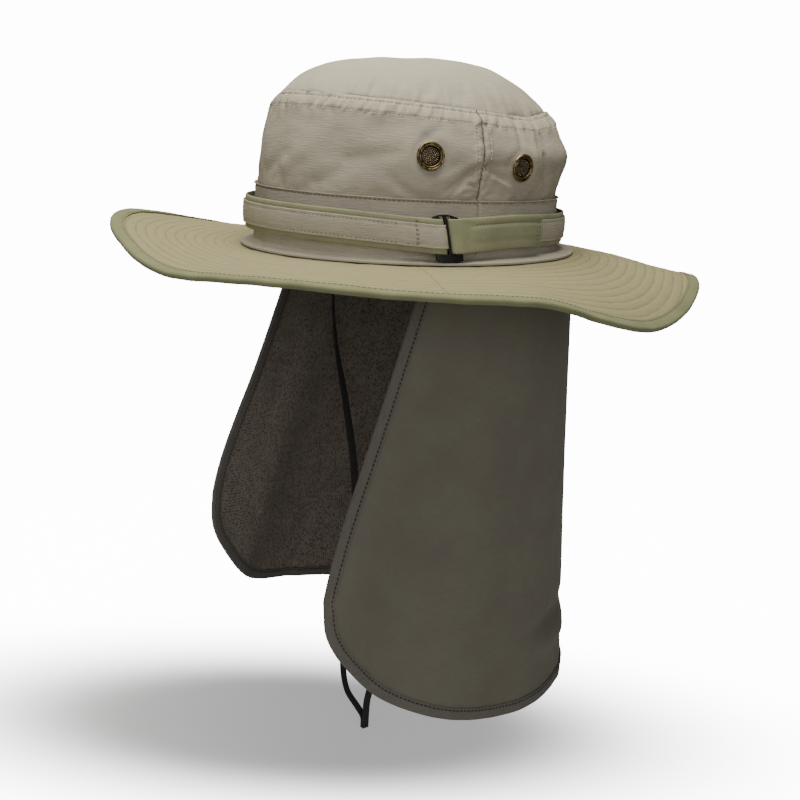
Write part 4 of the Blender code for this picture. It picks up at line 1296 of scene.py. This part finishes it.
def make_vents():
    """Each vent: a rolled brass ring with a groove inside it, and a dark disc with circles of dots."""
    seat = CLEARANCE + EYELET_RADIUS**2 / HEAD_LENGTH
    lip = EYELET_BORE + EYELET_LIP
    profile = [(lip, -EYELET_DEPTH), (lip, seat), (EYELET_RADIUS, seat)]
    profile += [
        (EYELET_RADIUS - 0.0007 + 0.0007 * math.cos(turn), seat + 0.0010 * math.sin(turn))
        for turn in (0.4, 0.8, 1.2, 1.6, 2.0, 2.5)
    ]
    profile += [(EYELET_RADIUS - 0.0014, seat + 0.0004)]
    profile += [
        (lip + 0.0005 * math.cos(turn), seat + 0.0004 + 0.0005 * math.sin(turn))
        for turn in (0.3, 1.0, 1.6, 2.2, 2.8)
    ]
    profile += [(EYELET_BORE, seat + 0.0001), (EYELET_BORE, -EYELET_DEPTH)]
    dots = []
    for number, (angle, height) in enumerate(EYELETS, 1):
        stand = eyelet_frame(angle, height)
        ring = lathe(f"vent_ring_{number}", profile, 64)
        ring.data.transform(stand)
        dress(ring, RING_BRASS, "antique_brass", f"eyelet_ring_{number}")
        bpy.ops.object.select_all(action="DESELECT")
        bpy.ops.mesh.primitive_uv_sphere_add(segments=48, ring_count=12, radius=EYELET_BORE - 0.0001)
        disc = bpy.context.object
        disc.name = f"vent_disc_{number}"
        disc.data.transform(stand @ Matrix.Translation((0, 0, 0.0003)) @ Matrix.Diagonal((1, 1, 0.09, 1)))
        dress(disc, MESH_BRASS, "eyelet_mesh", f"eyelet_mesh_{number}")
        out = (stand.to_3x3() @ Vector((0, 0, 1))).normalized()
        for reach in VENT_DOT_CIRCLES:
            crown = 0.0003 + 0.00047 * math.sqrt(max(0.0, 1 - (reach / 0.0052) ** 2))
            turns = spread(0, 2 * math.pi, 48)
            circle = [Vector((reach * math.cos(turn), reach * math.sin(turn), crown)) for turn in turns]
            dots.append([(stand @ place, out) for place in circle])
    sew("vent_dots", dots, DOT_BRASS, "eyelet_mesh", step=0.00105, width=0.00056, share=0.53)


def make_brim():
    """The quilted brim in two halves, with stitch rows above and below."""

    def flat(angle, reach):
        return angle * ARC * 1.4, brim_far(angle, reach)

    start, end = BRIM_SEAM_ANGLE, BRIM_SEAM_ANGLE + 180
    reaches = spread(1.0, 0.0, 84)
    for name, low, high in (("back", start, end), ("front", end, start + 360)):
        angles = spread(low + BRIM_SEAM_GAP / 2, high - BRIM_SEAM_GAP / 2, 210)
        piece = lay_cloth(f"brim_{name}", angles, reaches, brim_point, flat=flat)
        give_wall(piece, BRIM_CLOTH)
        dress(piece, BRIM_NYLON_SHADED, "khaki_cloth", f"brim_{name}_half")
    above, below = [], []
    for k in range(QUILT_ROWS):
        far = QUILT_FIRST + QUILT_STEP * k
        top, under = [], []
        for angle in spread(-180, 180, 400):
            reach = far / BRIM_WIDTH
            reach *= far / brim_far(angle, reach)
            place = brim_point(angle, reach)
            slope = place - brim_point(angle, reach - 0.01)
            round_way = brim_point(angle + 0.5, reach) - brim_point(angle - 0.5, reach)
            up = slope.cross(round_way).normalized()
            top.append((place, up))
            under.append((place - up * BRIM_CLOTH, -up))
        above.append(top)
        below.append(under)
    for name, rows in (("brim_stitches", above), ("brim_stitches_below", below)):
        sew(name, rows, KHAKI_THREAD, "khaki_cloth", step=0.0031)


def folded_section(width, inside, outside):
    """The outline of a tape folded over a cut edge, as pairs of how far out and how high it is."""
    section = [(-width, outside), (-width + 0.0009, outside), (-width + 0.0014, outside - 0.00012)]
    section += [(-width + 0.0019, outside), (-width * 0.4, outside)]
    section += [(outside * math.cos(t), outside * math.sin(t)) for t in spread(math.pi / 2, -math.pi / 2, 10)]
    section += [(-width * 0.4, -outside), (-width + 0.0019, -outside)]
    section += [(-width + 0.0014, -outside + 0.00012), (-width + 0.0009, -outside), (-width, -outside)]
    section += [(-width, -inside), (-width * 0.5, -inside)]
    section += [(inside * math.cos(t), inside * math.sin(t)) for t in spread(-math.pi / 2, math.pi / 2, 6)]
    section += [(-width * 0.5, inside), (-width, inside)]
    return section + section[:1]


def tape_rows(frames, back, lift):
    """Rows for sewing a folded tape on both its faces, this far back from its edge."""
    return [
        [(tip - out * back + up * side * lift, up * side) for tip, out, up in frames] for side in (1, -1)
    ]


def brim_edge(angle):
    """The brim's edge: its middle, its outward direction and its upward direction."""
    tip, root = brim_point(angle, 1.0), brim_point(angle, 1 - BINDING_WIDTH / BRIM_WIDTH)
    along = brim_point(angle + 0.6, 1.0) - brim_point(angle - 0.6, 1.0)
    out = (tip - root).normalized()
    up = out.cross(along).normalized()
    return tip - up * BRIM_CLOTH / 2, out, up


def make_brim_binding():
    """The olive tape folded over the brim's edge, with one row of stitches."""
    section = folded_section(BINDING_WIDTH, BRIM_CLOTH / 2 + 0.0003, BRIM_CLOTH / 2 + 0.0009)

    def place(angle, k):
        tip, out, up = brim_edge(angle)
        far, high = section[k]
        slack = 1 + 0.05 * ripple(angle, 4, 0.008) if far < -0.003 else 1
        return tip + out * (far * slack + 0.0002) + up * high

    piece = lay_cloth("brim_tape", spread(-180, 180, 480), list(range(len(section))), place, closed=True)
    dress(piece, BINDING_TAPE, "olive_tape", "brim_binding")
    frames = [brim_edge(angle) for angle in spread(-180, 180, 420)]
    rows = tape_rows(frames, BINDING_WIDTH - 0.0014, BRIM_CLOTH / 2 + TAPE_STITCH_LIFT)
    sew("brim_tape_stitches", rows, OLIVE_THREAD, "olive_tape", step=0.0028, width=0.0006)


def route_table(route):
    """A route as a table of length so far, along and out."""
    table, length = [], 0.0
    for i, pair in enumerate(route):
        if i:
            length += math.dist(pair, route[i - 1])
        table.append((length, *pair))
    return table


def lay_ribbon(name, route, width, thickness, relief):
    """A flat band on edge that follows a route, with its cloth pushed out by relief(along, up)."""
    table = route_table(route)
    steps = [row[0] for row in table]
    between = [(a + b) / 2 for a, b in zip(steps, steps[1:])]
    thirds = [a + (b - a) * k for a, b in zip(steps, steps[1:]) if b - a > 0.003 for k in (0.25, 0.75)]
    places = sorted(steps + between + thirds)

    def place(length, up):
        along, out = read_table(table, length, 1), read_table(table, length, 2)
        return band_place(along, out + relief(along, up), up)

    piece = lay_cloth(name, places, spread(-width / 2, width / 2, 14), place)
    return give_wall(piece, thickness, offset=0)


def webbing_relief(along, up):
    """The webbing is uneven along its length, and its tail dips where it is sewn."""
    uneven = WEBBING_UNEVEN * crumple(along / 0.012, up / 0.008, 1)
    on_tail = step_up(along + band_length(), bar_end() + 0.006, 0.004)
    top, low = BAND_WIDTH / 2 - TAIL_STITCH_TOP, -BAND_WIDTH / 2 + TAIL_STITCH_LOW
    dip = bell(up - top, GROOVE) + bell(up - low, GROOVE)
    puff = TAIL_PUFF * (1 - ((up - (top + low) / 2) / (BAND_WIDTH / 2)) ** 2)
    return uneven + on_tail * (puff - TAIL_DIP * dip)


def strip_relief(along, up):
    """The strip dips at its two stitch rows, puffs between them and puckers along them."""
    row = STRIP_WIDTH / 2 - STRIP_STITCH_INSET
    puff = STRIP_PUFF * (1 - (up / row) ** 2) if abs(up) < row else 0.0
    dip = STRIP_DIP * (bell(abs(up) - row, 0.0005) + bell(along + CROSS_SEAM, 0.0007))
    pucker = STRIP_PUCKER * crumple(along / 0.0035, up / 0.006, 14) * bell(abs(up) - row, 0.0022)
    return STRIP_LIFT + puff - dip + pucker + STRIP_UNEVEN * crumple(along / 0.010, up / 0.01, 4)


def band_row(pairs, level, relief):
    """A row for sewing on the band, through pairs of along and up, at a level over the base band."""
    row = []
    for along, up in pairs:
        out = level + relief(along, up)
        place = band_place(along, out, up)
        row.append((place, (band_place(along, out + 0.001, up) - place).normalized()))
    return row


def make_band():
    """The olive webbing with the khaki strip sewn on it, the tail and the buckle."""
    under, over, tail, _ = band_levels()
    webbing = lay_ribbon("olive_webbing", webbing_route(), BAND_WIDTH, BAND_CLOTH, webbing_relief)
    dress(webbing, BAND_TAPE, "olive_tape", "band_webbing")
    strip = lay_ribbon("khaki_strip", strip_route(), STRIP_WIDTH, STRIP_CLOTH, strip_relief)
    dress(strip, CROWN_NYLON, "khaki_cloth", "band_strip")
    sewn, end = SEWN_END_LENGTH, bar_end()
    whole = band_length()
    lift = (BAND_CLOTH + STRIP_CLOTH) / 2 + CLEARANCE / 2 + STRIP_CLOTH / 2
    khaki, olive = [], []
    for up in (STRIP_WIDTH / 2 - STRIP_STITCH_INSET, -STRIP_WIDTH / 2 + STRIP_STITCH_INSET):
        near = [(place, up) for place in spread(-end - 0.008, -sewn - 0.0015, 12)]
        far = [(place, up) for place in spread(-sewn - 0.0065, -whole + sewn, 300)]
        khaki.append(band_row(near, over + lift, strip_relief))
        khaki.append(band_row(far, under + lift, strip_relief))
    for along in (-CROSS_SEAM + 0.0004, -CROSS_SEAM - 0.0004):
        khaki.append(band_row([(along, up) for up in spread(-0.0060, 0.0095, 16)], over + lift, strip_relief))
    face = tail + BAND_CLOTH / 2
    for up in (BAND_WIDTH / 2 - TAIL_STITCH_TOP, -BAND_WIDTH / 2 + TAIL_STITCH_LOW):
        pairs = [(-whole + place, up) for place in spread(end + 0.009, TAIL_LENGTH - 0.003, 40)]
        olive.append(band_row(pairs, face, webbing_relief))
    for along in (TAIL_LENGTH - 0.0030, TAIL_LENGTH - 0.0052):
        pairs = [(-whole + along, up) for up in spread(-0.0092, 0.0092, 12)]
        olive.append(band_row(pairs, face, webbing_relief))
    sew("khaki_strip_stitches", khaki, BROWN_THREAD, "khaki_cloth", step=0.0024, width=0.0006)
    sew("tail_stitches", olive, OLIVE_THREAD, "olive_tape", step=0.0024, width=0.0006)
    make_buckle()


def make_buckle():
    """The slider: a plate with two slots, bent to the crown, its long sides bowed and its edges rounded."""
    slot = BUCKLE_CENTRE_BAR / 2 + BUCKLE_SLOT
    end = slot + BUCKLE_BAR
    half_bar = BUCKLE_CENTRE_BAR / 2
    columns = spread(-end, -slot, 4) + spread(-slot, -half_bar, 3)[1:] + spread(-half_bar, half_bar, 3)[1:]
    columns += spread(half_bar, slot, 3)[1:] + spread(slot, end, 4)[1:]
    opening = BAND_WIDTH / 2 + CLEARANCE * 2
    rows = [-1.0, -0.5, 0.0] + spread(0.0, 1.0, 8)[1:] + [1.5, 2.0]
    middle = band_levels()[3]

    def place(along, row):
        rim = opening + (BUCKLE_TOP_RIM if row > 0.5 else BUCKLE_LOW_RIM)
        rim -= BUCKLE_CORNER_DROP * (along / end) ** 2
        if row < 0:
            up = -opening + (rim - opening) * row
        elif row > 1:
            up = opening + (rim - opening) * (row - 1)
        else:
            up = -opening + 2 * opening * row
        return band_place(along, middle, up)

    piece = lay_cloth("buckle_plate", columns, rows, place)
    edit_all(piece)
    bpy.ops.mesh.select_all(action="DESELECT")
    bpy.ops.object.mode_set(mode="OBJECT")
    heart = band_place(0, middle, 0)
    upward = (band_place(0, middle, 0.001) - heart).normalized()
    for side in (1, -1):
        centre = band_place(side * (slot + half_bar) / 2, middle, 0)
        inward = (heart - centre).normalized()
        for face in piece.data.polygons:
            apart = face.center - centre
            high = apart.dot(upward)
            aside = (apart - upward * high).dot(inward)
            if abs(aside) < (slot - half_bar) / 2 and abs(high) < opening:
                face.select = True
    bpy.ops.object.mode_set(mode="EDIT")
    bpy.ops.mesh.delete(type="FACE")
    bpy.ops.object.mode_set(mode="OBJECT")
    wall = piece.modifiers.new("wall", "SOLIDIFY")
    wall.thickness = BUCKLE_THICKNESS
    wall.offset = 0
    edge = piece.modifiers.new("rounded edges", "BEVEL")
    edge.width = 0.0006
    edge.segments = 3
    edge.limit_method = "ANGLE"
    edge.angle_limit = math.radians(50)
    apply_modifiers(piece)
    dress(piece, BUCKLE_PLASTIC, "buckle_plastic", "band_buckle")


def flap_edge():
    """The flap's bound edge, as pairs of place and share: down one front edge, along the hem and up."""
    start = FLAP_BINDING_START
    edge = [(-1.0, share) for share in spread(start, 1.0, 60)]
    edge += [(math.copysign(abs(k) ** 0.9, k), 1.0) for k in spread(-1.0, 1.0, 260)][1:-1]
    edge += [(1.0, share) for share in spread(1.0, start, 60)]
    return edge


def flap_frames(sheet):
    """The flap's bound edge: its tip, its outward direction in the cloth and the cloth's outer side."""
    pairs = flap_edge()
    tips = [flap_point(place, share) for place, share in pairs]
    faces = [list(face.vertices) for face in sheet.data.polygons]
    cloth = BVHTree.FromPolygons([vertex.co for vertex in sheet.data.vertices], faces)
    last = len(tips) - 1
    outs, sides = [], []
    for i, (place, share) in enumerate(pairs):
        along = (tips[min(i + 4, last)] - tips[max(i - 4, 0)]).normalized()
        side = facing(flap_point, place * 0.98, min(share, 0.985), 0.01)
        out = along.cross(side).normalized()
        if out.dot(tips[i] - flap_point(place * 0.9, share * 0.9)) < 0:
            out = -out
        inner, normal, _, _ = cloth.find_nearest(tips[i] - out * FLAP_BINDING_WIDTH)
        outs.append((tips[i] - inner).normalized())
        sides.append(normal if normal.dot(side) > 0 else -normal)
    frames = []
    for i, tip in enumerate(tips):
        near = range(max(i - 4, 0), min(i + 4, last) + 1)
        side = sum((sides[k] for k in near), Vector())
        out = sum((outs[k] for k in near), Vector()).normalized()
        frames.append((tip, out, (side - out * side.dot(out)).normalized()))
    return frames


def make_flap():
    """The neck flap: smooth cloth outside, knitted mesh inside, bound with tape along its free edges."""
    places = [math.copysign(abs(k) ** 0.9, k) for k in spread(-1, 1, 220)]
    piece = lay_cloth("flap_panel", places, spread(0, 1, 90), flap_point)
    frames = flap_frames(piece)
    for material in (FLAP_CLOTH_FINISH, KNITTED_MESH):
        piece.data.materials.append(material)
    give_wall(piece, FLAP_CLOTH, offset=0, lining=True)
    dress(piece, (), "flap_cloth", "neck_flap")
    section = folded_section(FLAP_BINDING_WIDTH, FLAP_CLOTH / 2 + 0.0003, FLAP_CLOTH / 2 + 0.0008)

    def place(index, k):
        tip, out, side = frames[index]
        far, high = section[k]
        return tip + out * (far + 0.0002) + side * high

    binding = lay_cloth("flap_tape", list(range(len(frames))), list(range(len(section))), place, closed=True)
    close_ends(binding)
    dress(binding, FLAP_TAPE_FINISH, "flap_cloth", "flap_binding")
    rows = tape_rows(frames, FLAP_BINDING_WIDTH - 0.0016, FLAP_CLOTH / 2 + TAPE_STITCH_LIFT)
    # A wide, dark, near-continuous row: the binding's thread and a painted shadow of the tape's edge and
    # groove.
    stitches = sew("flap_tape_stitches", rows, DARK_THREAD_AND_SHADE, "flap_cloth", width=0.0009, share=0.8)


def camera_only(tree, others, camera):
    """A shader that the camera sees, in place of the one that lights the rest."""
    rays = add_node(tree, "ShaderNodeLightPath").outputs["Is Camera Ray"]
    ways = {0: rays, 1: others.outputs[0], 2: camera.outputs[0]}
    return add_node(tree, "ShaderNodeMixShader", ways).outputs[0]


def make_studio():
    """A white floor with a painted shadow under the hat, a white backdrop, a broad soft lamp overhead and
    weak suns at the camera's side.
    """
    bpy.ops.object.select_all(action="DESELECT")
    bpy.ops.mesh.primitive_plane_add(size=12, location=(0, 0, FLOOR_HEIGHT))
    floor = bpy.context.object
    floor.name = "floor"
    material, tree, shader = new_material("white studio floor")
    shader.inputs["Base Color"].default_value = linear("#d8d8d8")
    shader.inputs["Roughness"].default_value = 0.30
    # Painted shadow: the floor's glow dims in a soft oval under the hat.
    shade = {
        "Vector": add_node(tree, "ShaderNodeTexCoord").outputs["Object"],
        "Location": SHADE_CENTRE,
        "Rotation": (0, 0, math.radians(VIEW_TURN)),
        "Scale": (SHADE_LONG, SHADE_DEEP, 1),
    }
    turned = add_node(tree, "ShaderNodeMapping", shade, vector_type="TEXTURE").outputs[0]
    far = add_node(tree, "ShaderNodeVectorMath", {0: turned}, operation="LENGTH").outputs["Value"]
    light = remap(tree, far, 0.3, 1.3, FLOOR_SHADE, FLOOR_GLOW, interpolation_type="SMOOTHERSTEP")
    glow = add_node(tree, "ShaderNodeEmission", {"Color": (1, 1, 1, 1), "Strength": light})
    nothing = add_node(tree, "ShaderNodeEmission", {"Strength": 0.0})
    seen = camera_only(tree, nothing, glow)
    both = add_node(tree, "ShaderNodeAddShader", {0: shader.outputs[0], 1: seen})
    tree.links.new(both.outputs[0], tree.nodes["Material Output"].inputs["Surface"])
    floor.data.materials.append(material)
    for name, kind, power, size, place, colour in STUDIO_LAMPS:
        lamp = bpy.data.lights.new(name, kind)
        lamp.energy = power
        lamp.color = linear(colour)[:3]
        if kind == "AREA":
            lamp.size = size
        else:
            lamp.angle = math.radians(size)
        light = bpy.data.objects.new(name, lamp)
        light.location = place
        light.rotation_mode = "QUATERNION"
        light.rotation_quaternion = (Vector(place) - Vector((0, 0, 0.03))).to_track_quat("Z", "Y")
        bpy.context.scene.collection.objects.link(light)
    world = bpy.data.worlds.new("studio")
    world.use_nodes = True
    tree = world.node_tree
    ambient = tree.nodes["Background"]
    ambient.inputs["Strength"].default_value = AMBIENT
    ambient.inputs["Color"].default_value = (1, 1, 1, 1)
    white = add_node(tree, "ShaderNodeBackground", {"Color": (1, 1, 1, 1), "Strength": BACKDROP_GLOW})
    tree.links.new(camera_only(tree, ambient, white), tree.nodes["World Output"].inputs["Surface"])
    bpy.context.scene.world = world


def main():
    set_camera()
    make_chin_strap()
    make_panels()
    make_top()
    make_base_band()
    make_crown_stitches()
    make_vents()
    make_brim()
    make_brim_binding()
    make_band()
    make_flap()
    make_studio()


main()
